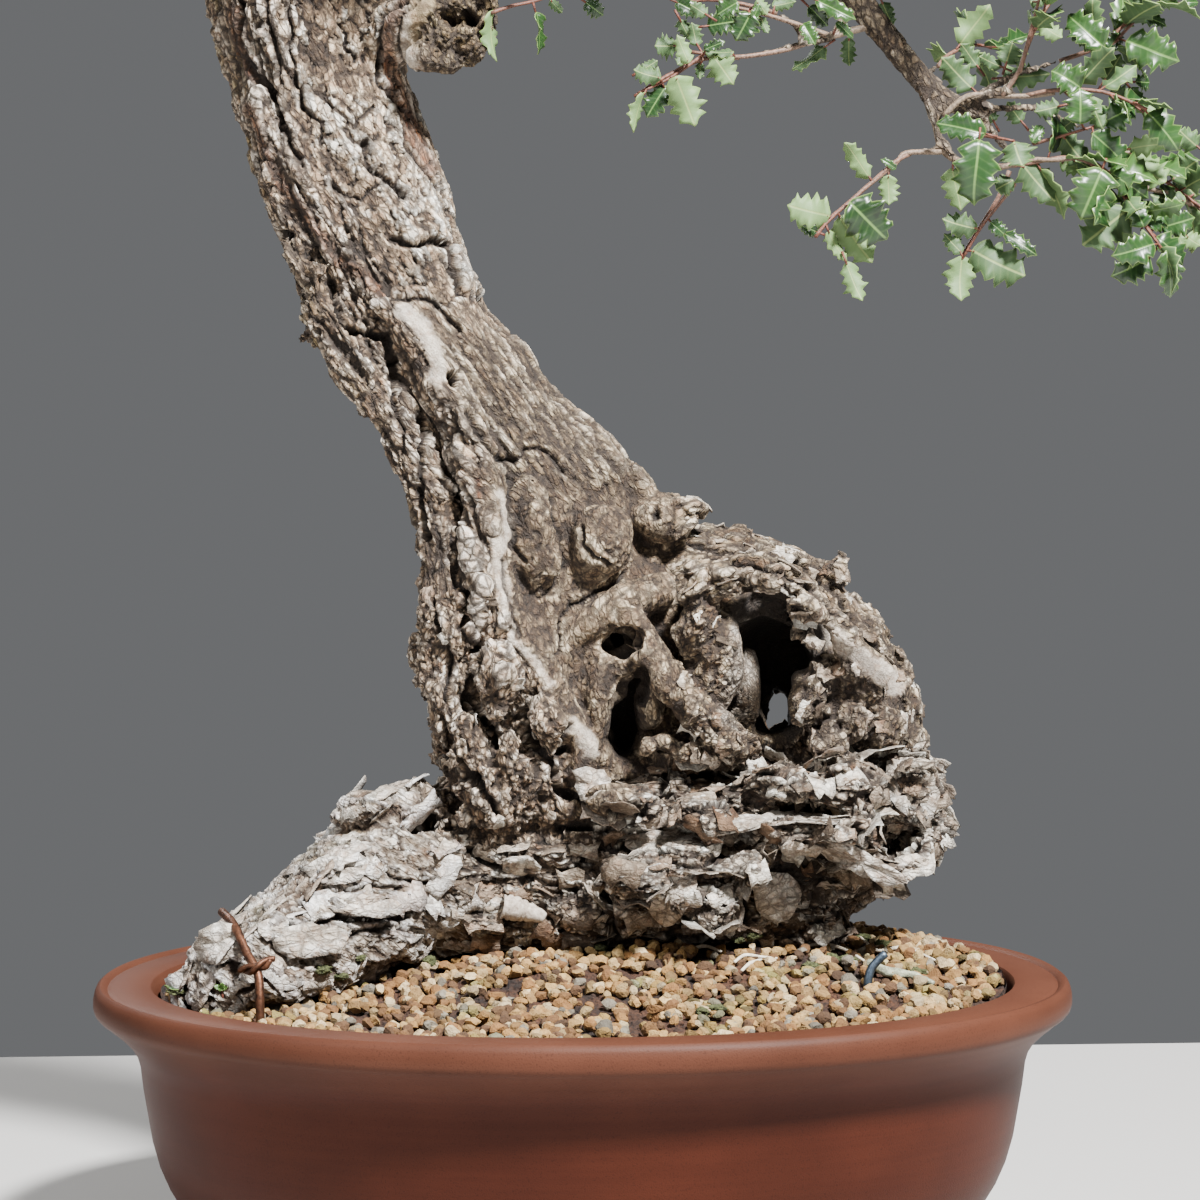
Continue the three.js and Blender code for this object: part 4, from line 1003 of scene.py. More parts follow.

    # Features of the front, listed one by one
    bare = np.zeros(len(points), np.float32)
    for line, width in bareWood.values():
        reach = strokeReach(pixels, line) + 5 * wavy + 3 * fine
        bare = np.maximum(bare, smooth(width + 3, width - 3, reach) * front)
    for line, width, height in ridges.values():
        hump = np.exp(-(strokeReach(pixels, line) / width) ** 2) * front
        relief += height * hump
        tone += 0.3 * hump
    smoothed = blurred(relief, edges, 8)
    relief = relief * (1 - 0.75 * bare) + 0.75 * bare * smoothed
    dark *= 1 - 0.7 * bare
    bent = pixels + 4.5 * np.stack([fractal(points / 7, 165, 2), fractal(points / 7, 170, 2)], 1)
    # Cracks and pits are carved here, and their dark mask is painted near black further down, partly the
    # cracks' own colour and partly painted shade
    for line, width, depth in cracks.values():
        wander = width * (0.9 + 0.45 * fine)
        groove = smooth(wander * 1.3, wander * 0.25, strokeReach(bent, line)) * front
        relief -= 0.6 * depth * groove
        dark = np.maximum(dark, groove)
    for centre, radii, depth in pits.values():
        groove = smooth(1.15, 0.45, ellipseReach(bent, centre, radii) + 0.15 * fine) * front
        relief -= 0.8 * depth * groove
        dark = np.maximum(dark, groove)
    rust = np.zeros(len(points), np.float32)
    for line, width in rustLines.values():
        reach = strokeReach(pixels, line) + 3 * wavy
        rust = np.maximum(rust, smooth(width * 1.5, width * 0.3, reach) * front)
    rust *= calm + rugged
    relief *= smooth(112, 124, z)
    carved = relief[:, None] * normals
    for height in wood["cuts"]:
        carved[:, 2] *= smooth(0.0, 3.0, np.abs(z - height))
    carved += points
    setPlaces(piece, inFrame(carved))
    cavity = ((carved - blurred(carved, edges, 12)) * normals).sum(1)
    deep = ((carved - blurred(carved, edges, 40)) * normals).sum(1)

    # Colours: pale worn faces, with painted shade that turns recesses brown and cracks near black
    # The tone takes the cavity: raised edges paler as wear, recesses darker as painted shade
    tone = np.clip(tone + 0.8 * np.clip(cavity, -1.5, 1.2) + 0.3 * wavy + 0.3 * fine, -1, 1)
    shares = [calm * high, calm * middle, rugged, calm * low, base, root,
              dome + where["branch"] + where["inner"]]
    tones = [creamTone(tone + 0.05), greyTone(tone), furrowTone(tone), warmTone(tone), baseTone(tone),
             paperTone(tone), greyTone(tone + 0.1)]
    colour = sum(share[:, None] * shade for share, shade in zip(shares, tones))
    colour = colour / (sum(shares)[:, None] + 1e-6)
    tan = smooth(0.15, 0.5, noise(points / 7, 140) + 0.3 * fine) * (base + 0.5 * root + 0.6 * dome)
    blend(colour, 0.45 * tan, "#93673F")
    turn = np.degrees(np.arctan2(away[:, 0], -away[:, 1]))
    lichenSide = smooth(-30, -70, turn) * rugged * smooth(300, 350, z)
    blend(colour, 0.6 * smooth(0.0, 0.45, noise(points / 14, 120) + 0.4 * fine) * lichenSide, "#A8945C")
    moss = smooth(0.2, 0.6, noise(points / 10, 130)) * root * smooth(0.3, 0.9, normals[:, 2])
    moss = moss * smooth(-60, -100, x)
    blend(colour, 0.4 * moss, "#5C6440")
    blend(colour, rust * (0.75 + 0.25 * wavy), "#8A5531")
    blend(colour, 0.75 * bare, "#D3CABD")
    blend(colour, 0.55 * where["branch"], "#7A6D5D")
    # Painted shade: the far side and the top of the hollow's mouth are painted near black
    shade = smooth(-2, 12, x - 74 + 0.3 * (z - 250) + 5 * wavy) * smooth(-6, 10, y)
    shade = np.maximum(shade, smooth(270, 284, z + 4 * wavy))
    blend(colour, where["inner"] * shade * 0.95, "#1D1611")
    blend(colour, where["inner"] * (1 - shade) * 0.5 * smooth(-0.1, 0.4, wavy), "#A08468")
    # Painted light: the hollow's left wall, pale bare wood, is painted paler still where it lies in shade
    paleWallPaintedLight = smooth(20, 11, strokeReach(bent, [(746, 636), (743, 676), (735, 712)]) + 2 * wavy) * front
    blend(colour, 0.85 * paleWallPaintedLight * smooth(40, 30, y), "#C9C1B4")
    streaks = smooth(0.0, 0.45, noise(points / [1.5, 2.5, 13], 160) + 0.25 * fine)
    blend(colour, where["inner"] * (1 - shade) * 0.75 * streaks, "#51402F")
    # Painted shade: the cave is painted dark brown
    blend(colour, where["cave"] * 0.85, "#2A1F18")
    # Painted shade: the flange round the arch is painted darker
    flange = smooth(1.2, 0.8, ellipseReach(pixels, (846, 704), (52, 52))) * front
    blend(colour, 0.5 * flange, "#3E3026")
    blend(colour, 0.6 * burr, "#A5905F")
    blend(colour, 0.55 * burr * smooth(0.1, 0.5, noise(points / 5, 150)), "#5A4636")
    # Painted shade: recesses of the carved skin are darkened brown, deep recesses darker still, and cracks,
    # pits and cell cracks near black
    blend(colour, 0.85 * smooth(0.2, 0.95, -cavity) * (1 - bare), "#33261C")
    blend(colour, 0.8 * smooth(0.7, 3.0, -deep) * (1 - 0.6 * bare), "#231912")
    blend(colour, 0.88 * dark, "#211811")
    crackled = (1 - 0.8 * bare) * (1 - 0.3 * root) * (1 - 0.15 * calm) * calmness
    setBark(piece, np.clip(colour, 0, 1), grain, np.clip(crackled, 0, 1))


def blend(colour, share, hexColour):
    share = np.clip(share, 0, 1)[:, None]
    colour += share * (np.array(linear(hexColour)[:3]) - colour)


# Thin papery flakes: an upper edge that grows from the bark and a ragged free edge that stands off
def makeFlakes(piece):
    points = fromFrame(placesOf(piece)).astype(np.float32)
    normals = blurred(normalsOf(piece), edgesOf(piece), 6)
    where = regionsOf(points, normals)
    kept = smooth(118, 124, points[:, 2])
    rng = np.random.default_rng(77)
    u, v = [grid.ravel() for grid in np.meshgrid(np.linspace(0, 1, 5), np.linspace(0, 1, 3), indexing="ij")]
    rim = (u == 0) | (u == 1) | (v == 0) | (v == 1)
    top = [(3 * i + j, 3 * i + j + 3, 3 * i + j + 4, 3 * i + j + 1) for i in range(4) for j in range(2)]
    loop = [0, 3, 6, 9, 12, 13, 14, 11, 8, 5, 2, 1]
    parts, tints, grains = [], [], []
    for name, kind in flakes.items():
        order = rng.permutation(np.nonzero(where[name] * kept > 0.5)[0])
        space = 0.22 * (sum(kind["long"]) + sum(kind["high"]))
        for seat, normal, along in seatsOn(name, points, normals, order, kind, space, 0.25, rng):
            free = np.cross(normal, along)
            if (free[2] > 0) == (rng.random() < 0.75):
                free = -free
            length, height, lift = (rng.uniform(*kind[key]) for key in ("long", "high", "lift"))
            uu = u - 0.5 + rim * rng.uniform(-0.09, 0.09, 15)
            vv = v + rim * rng.uniform(-0.22, 0.22, 15)
            uu *= 1 - 0.35 * v * rng.random()
            rise = lift * np.clip(vv, 0, 2) ** 1.5 + rng.uniform(-0.5, 1.2) * lift * (2 * u - 1) ** 2 * v
            flat = seat + np.outer(uu * length, along) + np.outer((vv - 0.3) * height, free)
            offset = []
            for point in flat:
                hit = barkShape.find_nearest(Vector(inFrame(point)))[0]
                offset.append(np.dot(fromFrame(hit) - point, normal))
            flat += np.outer(0.7 * np.clip(offset, -3, 3) + rise - 0.5 * (1 - v), normal)
            thick = rng.uniform(0.45, 0.8)
            shape = np.vstack([flat, flat - thick * normal])
            faces = top + [tuple(k + 15 for k in face[::-1]) for face in top]
            faces += [(a, a + 15, b + 15, b) for a, b in zip(loop, loop[1:] + loop[:1])]
            if np.dot(np.cross(along, free), normal) < 0:
                faces = [face[::-1] for face in faces]
            parts.append((shape, faces))
            darkest = -0.1 if name == "root" else -0.4
            shade = rng.uniform(darkest, 0.85) + 0.25 * v + rng.uniform(-0.2, 0.2, 15)
            colour = (paperTone if name == "root" else baseTone)(np.clip(shade, -1, 1))
            if rng.random() < 0.3:
                blend(colour, np.full(15, 0.4), "#93673F")
            # Painted shade: each flake's underside takes its colour darkened to 45 per cent
            tints.append(np.vstack([colour, colour * 0.45]))
            grains.append(shape[:, [2, 1, 0]] if name != "coral" else shape)
    piece = meshFrom("bark_flakes", parts)
    setBark(piece, np.vstack(tints), np.vstack(grains), np.full(len(piece.data.vertices), 0.5))
    return piece


# The finished skin is thinned where it is seldom looked at, then cut into closed parts
def splitWood(piece):
    points = fromFrame(placesOf(piece))
    seen = smooth(-0.1, 0.15, -(normalsOf(piece) @ ahead)) * smooth(80, 60, points[:, 1])
    seen = seen * smooth(600, 575, points[:, 2])
    level = levelsOf(piece)
    edges = edgesOf(piece)
    onLoop = np.zeros(len(points), bool)
    for height in wood["cuts"]:
        onLoop |= np.abs(level - height) < 0.01
    kept = onLoop.copy()
    kept[edges[onLoop[edges[:, 0]], 1]] = True
    kept[edges[onLoop[edges[:, 1]], 0]] = True
    group = piece.vertex_groups.new(name="thin")
    for step in range(5):
        chosen = np.nonzero(((seen * 4).round() == step) & ~kept)[0]
        group.add([int(i) for i in chosen], max(0.03, 1 - step / 4), "REPLACE")
    addModifier(piece, "DECIMATE", ratio=wood["faces"] / (2 * len(piece.data.polygons)), vertex_group="thin",
                vertex_group_factor=10)
    applyModifiers(piece)
    piece.vertex_groups.clear()
    parts = [piece]
    for height in reversed(wood["cuts"]):
        corners = readField(piece.data.loops, "vertex_index", 1, np.int32)
        starts = readField(piece.data.polygons, "loop_start", 1, np.int32)
        above = np.add.reduceat(levelsOf(piece)[corners] - height, starts) > 0
        editMarked(piece, "polygons", "FACE", above)
        bpy.ops.mesh.separate(type="SELECTED")
        stopEditing()
        parts += [other for other in bpy.context.selected_objects if other != piece]
    for part, letter in zip(parts, "acb"):
        part.name = "tree_wood_" + letter
        closeCuts(part)
    return parts


def levelsOf(piece):
    return readField(piece.data.attributes["level"].data, "value")


def closeCuts(part):
    startEditing(part, "DESELECT", "EDGE")
    bpy.ops.mesh.select_non_manifold(extend=False, use_wire=False, use_boundary=True, use_multi_face=False,
                                     use_non_contiguous=False, use_verts=False)
    bpy.ops.mesh.mark_sharp()
    bpy.ops.object.mode_set(mode="OBJECT")
    rim = readField(part.data.edges, "select", 1, bool)
    ends = levelsOf(part)[edgesOf(part)]
    for height in wood["cuts"]:
        here = rim & (np.abs(ends - height) < 0.01).all(1)
        if here.any():
            newer = np.zeros(len(part.data.edges) - len(here), bool)
            editMarked(part, "edges", "EDGE", np.append(here, newer))
            bpy.ops.mesh.fill(use_beauty=False)
            stopEditing()


treeWood = makeWood()
dressWood(treeWood)
barkShape = treeOf(treeWood)
barkFlakes = makeFlakes(treeWood)
settle(barkFlakes, "oak_bark", barkMaterial)
for part in splitWood(treeWood):
    settle(part, "oak_bark", barkMaterial, replaces=["tree"])
    part.data.shade_smooth()
    print("bark carved:", part.name, len(part.data.polygons), "faces")


# Unglazed stoneware: fired red-brown clay wiped smooth by hand, with a satin, slightly gritty skin
def makeClayMaterial():
    material, tree, place = newMaterial("stonewareUnglazed", {"Roughness": 0.52, "Specular IOR Level": 0.12})
    # Wiping streaks about 3 mm high and 80 mm long, clouds of 60 mm, grit of 0.6 mm
    wiping = addNode(tree, "Mapping", 0, {"Scale": (12.0, 12.0, 330.0), "Vector": place})
    streaks = addNode(tree, "TexNoise", "Fac", {"Scale": 1.0, "Detail": 4.0, "Vector": wiping})
    clouds = addNode(tree, "TexNoise", "Fac", {"Scale": 16.0, "Detail": 3.0, "Vector": place})
    grit = addNode(tree, "TexNoise", "Fac", {"Scale": 1500.0, "Detail": 2.0, "Vector": place})
    # Painted light and shade: the rim is painted paler and the wall below it darker, standing in for the
    # shade under the rim's overhang
    wall = addNode(tree, "ValToRGB", "Color", {"Fac": clouds}, [(0.3, "#37160B"), (0.7, "#421D10")])
    rim = addNode(tree, "ValToRGB", "Color", {"Fac": clouds}, [(0.3, "#45271B"), (0.7, "#513023")])
    level = addNode(tree, "SeparateXYZ", "Z", {"Vector": place})
    rimLitShare = addNode(tree, "MapRange", 0, {0: level, 1: 0.098, 2: 0.116})
    colour = addNode(tree, "Mix", 2, {0: rimLitShare, 6: wall, 7: rim}, data_type="RGBA")
    colour = shadeWith(tree, colour, 0.18, streaks, [(0.35, "#B99F90"), (0.65, "#FFFFFF")])
    colour = shadeWith(tree, colour, 0.4, grit, [(0.32, "#8F7F78"), (0.42, "#FFFFFF")])
    height = addNode(tree, "Math", 0, {0: streaks, 1: 0.25, 2: grit}, operation="MULTIPLY_ADD")
    finishMaterial(tree, colour, height, 0.3, 0.0003)
    return material


# Pot: rings of its skin as inset from the rim's outer edge and height, bottom to floor
pot = {
    "halfLength": 215.0, "halfDepth": 160.0, "power": 2.1, "sides": 160,
    "rings": [(74, 12), (60, 13.5), (50, 17), (42.5, 22.5), (37, 29), (32, 37.5), (28, 47), (25, 58),
              (23, 70), (21.2, 81), (20, 91), (18.6, 96), (15.4, 101.2), (10.4, 106.4), (6, 110),
              (4, 111.8), (2, 113.2), (0.6, 114.8), (0, 117), (0.1, 120.4), (0.7, 123), (1.5, 124.9),
              (3, 126), (4.5, 125.7), (5.5, 124.8), (6.2, 124.2), (7, 124.4), (8, 125), (23.6, 125),
              (24.8, 124.7), (25.6, 123.6), (26.6, 120), (31, 108), (33.5, 72), (41, 38), (56, 24), (74, 22)],
    "feet": [(28, 56), (124, 152), (208, 236), (304, 332)], "footOuter": (55, 63), "footInner": (84, 81),
    "footTop": 18.0, "holeRadius": 12.0, "holeX": 85.0,
}


def ovalPoints(inset, turns, z):
    c, s = np.cos(turns), np.sin(turns)
    x = (pot["halfLength"] - inset) * np.sign(c) * np.abs(c) ** (2 / pot["power"])
    y = (pot["halfDepth"] - inset) * np.sign(s) * np.abs(s) ** (2 / pot["power"])
    return np.stack([x, y, np.zeros_like(x) + z], -1)


def makePot():
    (inset, z), rest = pot["rings"][0], pot["rings"][1:]
    bpy.ops.mesh.primitive_circle_add(vertices=pot["sides"], radius=0.1, fill_type="NGON", location=(0, 0, 0))
    piece = bpy.context.active_object
    piece.name = "pot_body"
    turns = np.arange(pot["sides"]) * 2 * math.pi / pot["sides"]
    setPlaces(piece, inFrame(ovalPoints(inset, turns, z)))
    startEditing(piece)
    for nextInset, nextZ in rest:
        centre = Vector(inFrame((0, 0, nextZ)))
        bpy.ops.mesh.extrude_region_move(TRANSFORM_OT_translate={"value": (0, 0, (nextZ - z) * mm)})
        grow = [(pot[half] - nextInset) / (pot[half] - inset) for half in ("halfLength", "halfDepth")]
        bpy.ops.transform.resize(value=(grow[0], grow[1], 1), center_override=centre)
        inset, z = nextInset, nextZ
    stopEditing()
    turnOutward(piece)
    cutters = [makeFoot(*span) for span in pot["feet"]]
    for side in (-1, 1):
        bpy.ops.mesh.primitive_cylinder_add(vertices=32, radius=pot["holeRadius"] * mm, depth=0.03,
                                            location=inFrame((side * pot["holeX"], 0, 17)))
        cutters.append(bpy.context.active_object)
    for cutter in cutters:
        joining = "UNION" if cutter.name.startswith("foot") else "DIFFERENCE"
        addModifier(piece, "BOOLEAN", operation=joining, object=cutter, solver="EXACT")
    applyModifiers(piece)
    for cutter in cutters:
        bpy.data.objects.remove(cutter)
    onlySelect(piece)
    bpy.ops.object.shade_smooth_by_angle(angle=math.radians(38))
    return piece


# A foot is a grid bent along the oval, drawn up from its sole, with rounded edges
def makeFoot(fromTurn, toTurn):
    bpy.ops.mesh.primitive_grid_add(x_subdivisions=12, y_subdivisions=1, size=2, location=(0, 0, 0))
    foot = bpy.context.active_object
    foot.name = "foot"
    startEditing(foot)
    bpy.ops.mesh.extrude_region_move(TRANSFORM_OT_translate={"value": (0, 0, 1)})
    stopEditing()
    turnOutward(foot)
    blank = placesOf(foot)
    across, along, top = (blank[:, 0] + 1) / 2, (blank[:, 1] + 1) / 2, blank[:, 2] > 0.5
    turns = np.radians(fromTurn + (toTurn - fromTurn) * across)
    outer = np.where(top, pot["footOuter"][0], pot["footOuter"][1])
    inner = np.where(top, pot["footInner"][0], pot["footInner"][1])
    taper = 3 * np.cos(math.pi * across) ** 2
    inset = (outer + taper) * (1 - along) + (inner - taper) * along
    setPlaces(foot, inFrame(ovalPoints(inset, turns, np.where(top, pot["footTop"], 0.0))))
    turnOutward(foot)
    addModifier(foot, "BEVEL", width=1.2 * mm, segments=2)
    applyModifiers(foot)
    return foot


clayMaterial = makeClayMaterial()
potBody = makePot()
settle(potBody, "unglazed_clay", clayMaterial, replaces=["pot"])
print("pot thrown:", len(potBody.data.polygons), "faces")


# Ground: brown crumb under pale pumice grains, whose radius and sinking are in millimetres
ground = {"grains": 2350, "radius": (2.4, 4.0), "seed": 5, "sink": 3.4, "tone": (0.34, 0.84)}


# Pumice: crushed volcanic glass foam, full of open pores, dusty and quite matte
def makePumiceMaterial():
    material, tree, place = newMaterial("pumiceCrushed", {"Roughness": 0.92})
    colour = addNode(tree, "Attribute", "Color", attribute_name="grainTint")
    # Open pores about 0.8 mm across and dust clouds of 3 mm
    pores = addNode(tree, "TexVoronoi", "Distance", {"Scale": 1100.0, "Vector": place})
    dust = addNode(tree, "TexNoise", "Fac",
                   {"Scale": 420.0, "Detail": 3.0, "Roughness": 0.7, "Vector": place})
    colour = shadeWith(tree, colour, 0.55, pores, [(0.1, "#5C4028"), (0.35, "#FFFFFF")])
    colour = shadeWith(tree, colour, 0.5, dust, [(0.35, "#A78C6C"), (0.6, "#FFFFFF")])
    finishMaterial(tree, colour, pores, 0.7, 0.0004)
    return material


# Planting mix: sifted loam and fired clay crumb, dull, in patches of near-black and dark brown that also
# stand in as painted shade in the gaps between the grains lying on it
def makeSoilMaterial(name):
    material, tree, place = newMaterial(name, {"Roughness": 0.95})
    # Crumbs of 1.5 mm and darker patches of 15 mm
    crumb = addNode(tree, "TexVoronoi", "Distance", {"Scale": 640.0, "Vector": place})
    patch = addNode(tree, "TexNoise", "Fac", {"Scale": 65.0, "Detail": 3.0, "Vector": place})
    colour = addNode(tree, "ValToRGB", "Color", {"Fac": patch}, [(0.35, "#22140C"), (0.65, "#54341F")])
    colour = shadeWith(tree, colour, 0.6, crumb, [(0.1, "#FFFFFF"), (0.7, "#5A4632")])
    finishMaterial(tree, colour, crumb, 0.9, 0.0012)
    return material


grainTones = ["#B8935C", "#A98048", "#CDAD78", "#946A3A", "#D8C094", "#8A6238", "#B08A54", "#64472C",
              "#8C8474", "#BE9C64"]


def grainTemplates(rng, count):
    shapes = []
    for k in range(count):
        blank = newBall(2)
        points = placesOf(blank)
        lumps = fractal(points * 1.1 + 11 * k, 200 + k, 2)
        planes = rng.normal(size=(9, 3))
        planes /= np.linalg.norm(planes, axis=1)[:, None]
        points = points * (1 + 0.22 * lumps)[:, None]
        for plane, cut in zip(planes, rng.uniform(0.55, 0.82, 9)):
            over = points @ plane - cut
            points -= np.where(over > 0, over, 0)[:, None] * plane
        setPlaces(blank, points * np.array([1.0, rng.uniform(0.75, 0.95), rng.uniform(0.62, 0.85)]))
        addModifier(blank, "DECIMATE", ratio=0.6)
        applyModifiers(blank)
        shapes.append(takeApart(blank))
    return shapes


def randomTurns(rng, count):
    q = rng.normal(size=(count, 4))
    q /= np.linalg.norm(q, axis=1)[:, None]
    w, x, y, z = q.T
    return np.stack([
        np.stack([1 - 2 * (y * y + z * z), 2 * (x * y - z * w), 2 * (x * z + y * w)], 1),
        np.stack([2 * (x * y + z * w), 1 - 2 * (x * x + z * z), 2 * (y * z - x * w)], 1),
        np.stack([2 * (x * z - y * w), 2 * (y * z + x * w), 1 - 2 * (x * x + y * y)], 1)], 1)


def makeGround():
    surface = treeOf(nodes["pumice_dressing"])
    rng = np.random.default_rng(ground["seed"])
    shapes = grainTemplates(rng, 8)
    points, faces, tints, count = [], [], [], 0
    made = 0
    halfX, halfY = pot["halfLength"] - 28, pot["halfDepth"] - 28
    while made < ground["grains"]:
        x, y = rng.uniform(-halfX, halfX), rng.uniform(-halfY, halfY)
        radius = rng.uniform(*ground["radius"]) * (1.25 if rng.random() < 0.12 else 1)
        if (abs(x) / (halfX - radius)) ** 2.1 + (abs(y) / (halfY - radius)) ** 2.1 > 1:
            continue
        hit, normal, _, _ = surface.ray_cast(Vector(inFrame((x, y, 170))), Vector((0, 0, -1)), 0.12)
        if hit is None:
            continue
        nearest, barkNormal, _, reach = barkShape.find_nearest(hit)
        if reach < 0.7 * radius * mm or (hit - nearest).dot(barkNormal) < 0:
            continue
        bare = noise(np.array([[x / 30, y / 22, 3.0]], np.float32), 61)[0] > 0.24
        if bare and rng.random() < 0.5:
            continue
        shape, tris = shapes[rng.integers(len(shapes))]
        turn = randomTurns(rng, 1)[0]
        placed = shape @ turn.T * radius
        placed[:, 2] *= 0.9
        z = fromFrame(hit)[2] - ground["sink"] + radius * rng.uniform(0.35, 0.95)
        points.append(placed + [x, y, z])
        faces.append(tris + count)
        count += len(placed)
        tone = linear(grainTones[int(rng.integers(len(grainTones)) * (1 if rng.random() < 0.8 else 0.6))])[:3]
        green = max(0.0, noise(np.array([[x / 16, y / 12, 9.0]], np.float32), 62)[0] - 0.25) * rng.random()
        tone = np.array(tone) * rng.uniform(*ground["tone"]) * (1 - green)
        tone = tone + np.array(linear("#7A8040")[:3]) * green
        tints.append(np.tile(tone, (len(placed), 1)))
        made += 1
    faces = np.concatenate(faces)
    sizes = np.full(len(faces), 3)
    grains = newMesh("pumice_grains", inFrame(np.concatenate(points)), faces.ravel(), sizes, False)
    setTint(grains, "grainTint", np.concatenate(tints))
    return grains


def makeCrumbBed():
    piece = copyNode("pumice_dressing", "crumb_bed")
    voxelSkin(piece, 1.6)
    addModifier(piece, "SMOOTH", iterations=12)
    applyModifiers(piece)
    points = fromFrame(placesOf(piece)).astype(np.float32)
    normals = normalsOf(piece)
    lumps = 1.6 * fractal(points / 7, 400, 3) + 1.9 * fractal(points / 2.6, 410, 2) - ground["sink"]
    points[:, 2] += smooth(0.3, 0.7, normals[:, 2]) * lumps
    setPlaces(piece, inFrame(points))
    addModifier(piece, "DECIMATE", ratio=0.5)
    applyModifiers(piece)
    return piece


pumiceMaterial = makePumiceMaterial()
crumbMaterial = makeSoilMaterial("loamCrumbled")
crumbBed = makeCrumbBed()
settle(crumbBed, "pumice", crumbMaterial, replaces=["pumice_dressing"])
grains = makeGround()
settle(grains, "pumice", pumiceMaterial)
print("ground laid:", len(crumbBed.data.polygons), "and", len(grains.data.polygons), "faces")


# Small things that lie on the grains or cling to the bark, by pixels of the photograph
wires = {
    "root": [(-157, -36, 161), (-151, -52, 158), (-145, -63, 148), (-140, -70, 140), (-139, -74, 128),
             (-139, -75, 114)],
    "twist": [(-147, -66, 141), (-140, -71, 143), (-134, -69, 146)],
    "end": [(128, -40, 141), (122, -41, 135), (120, -42, 128), (119, -42, 114)],
    "radius": 1.9,
    "sides": 10,
}
litter = {
    "paleRoots": [[(733, 962), (745, 955), (760, 956), (775, 958)],
                  [(805, 945), (825, 944), (845, 950), (870, 965)], [(742, 972), (750, 964), (762, 960)],
                  [(860, 938), (880, 950), (905, 948), (935, 960)], [(690, 950), (705, 946), (722, 952)]],
    "stick": [(868, 962), (888, 972), (910, 975), (934, 984)],
    "stickRadii": [1.6, 2.3, 2.0, 1.3],
    "moss": [(702, 1012), (716, 1008), (812, 966), (846, 960), (832, 958), (322, 970), (338, 976),
             (360, 958), (180, 992), (430, 962), (865, 938), (884, 944), (600, 948), (752, 936),
             (738, 940), (918, 972)],
    "leaf": ((180, 990), (162, 982)),
    "sprout": (222, 1004),
    "cone": [(500, 906), (512, 908), (526, 911), (545, 918)],
    "coneRadii": [5.2, 5.8, 5.0, 2.6],
}
# Big flakes of the front: corners as pixel across, pixel down and how far they stand off the bark
bigFlakes = {
    "pointed": [(812, 838, 1), (840, 842, 2), (868, 852, 4), (890, 866, 6), (906, 880, 9), (894, 884, 9),
                (868, 878, 6), (842, 866, 4), (820, 852, 2)],
    "plate": [(884, 760, 2), (908, 756, 3), (930, 768, 3), (938, 790, 3), (934, 812, 4), (920, 828, 6),
              (902, 812, 6), (886, 792, 4)],
    "curl": [(318, 900, 1), (345, 893, 2), (378, 893, 3), (402, 901, 5), (396, 914, 7), (362, 916, 6),
             (334, 912, 4)],
    "tongue": [(572, 770, 1), (592, 766, 2), (610, 776, 3), (604, 796, 5), (588, 804, 5), (576, 790, 3)],
    "lipWide": [(700, 818, 1), (745, 812, 2), (790, 806, 2), (832, 812, 3), (836, 824, 7), (790, 822, 8),
                (742, 830, 7), (708, 836, 5)],
    "shelf": [(622, 836, 1), (664, 830, 2), (700, 836, 3), (706, 850, 6), (664, 852, 7), (630, 850, 5)],
    "skirt": [(628, 868, 1), (668, 864, 2), (694, 876, 2), (690, 906, 5), (664, 922, 6), (640, 900, 4)],
    "skirtTwo": [(700, 896, 1), (726, 884, 2), (742, 900, 2), (738, 928, 5), (714, 932, 5)],
    "skirtThree": [(752, 880, 1), (786, 872, 2), (800, 892, 2), (786, 920, 5), (762, 914, 5)],
    "rootPlate": [(200, 930, 1), (222, 920, 2), (240, 932, 2), (236, 956, 3), (210, 964, 3),
                  (196, 950, 2)],
    "rootPlateTwo": [(270, 930, 1), (310, 922, 2), (346, 930, 2), (340, 950, 5), (298, 958, 5),
                     (274, 948, 3)],
    "rootPlateThree": [(300, 868, 1), (340, 850, 2), (366, 856, 2), (360, 880, 5), (322, 886, 5)],
}


def seenOn(trees, px, row, lift=0.0):
    eye = np.array(photo["eye"])
    ray = unit(fromPixel(px, row, 0) - eye)
    hits = [tree.ray_cast(Vector(inFrame(eye)), Vector(ray), 3.0) for tree in trees]
    near = min((hit for hit in hits if hit[0] is not None), key=lambda hit: hit[3], default=None)
    return None if near is None else fromFrame(near[0]) - ray * lift


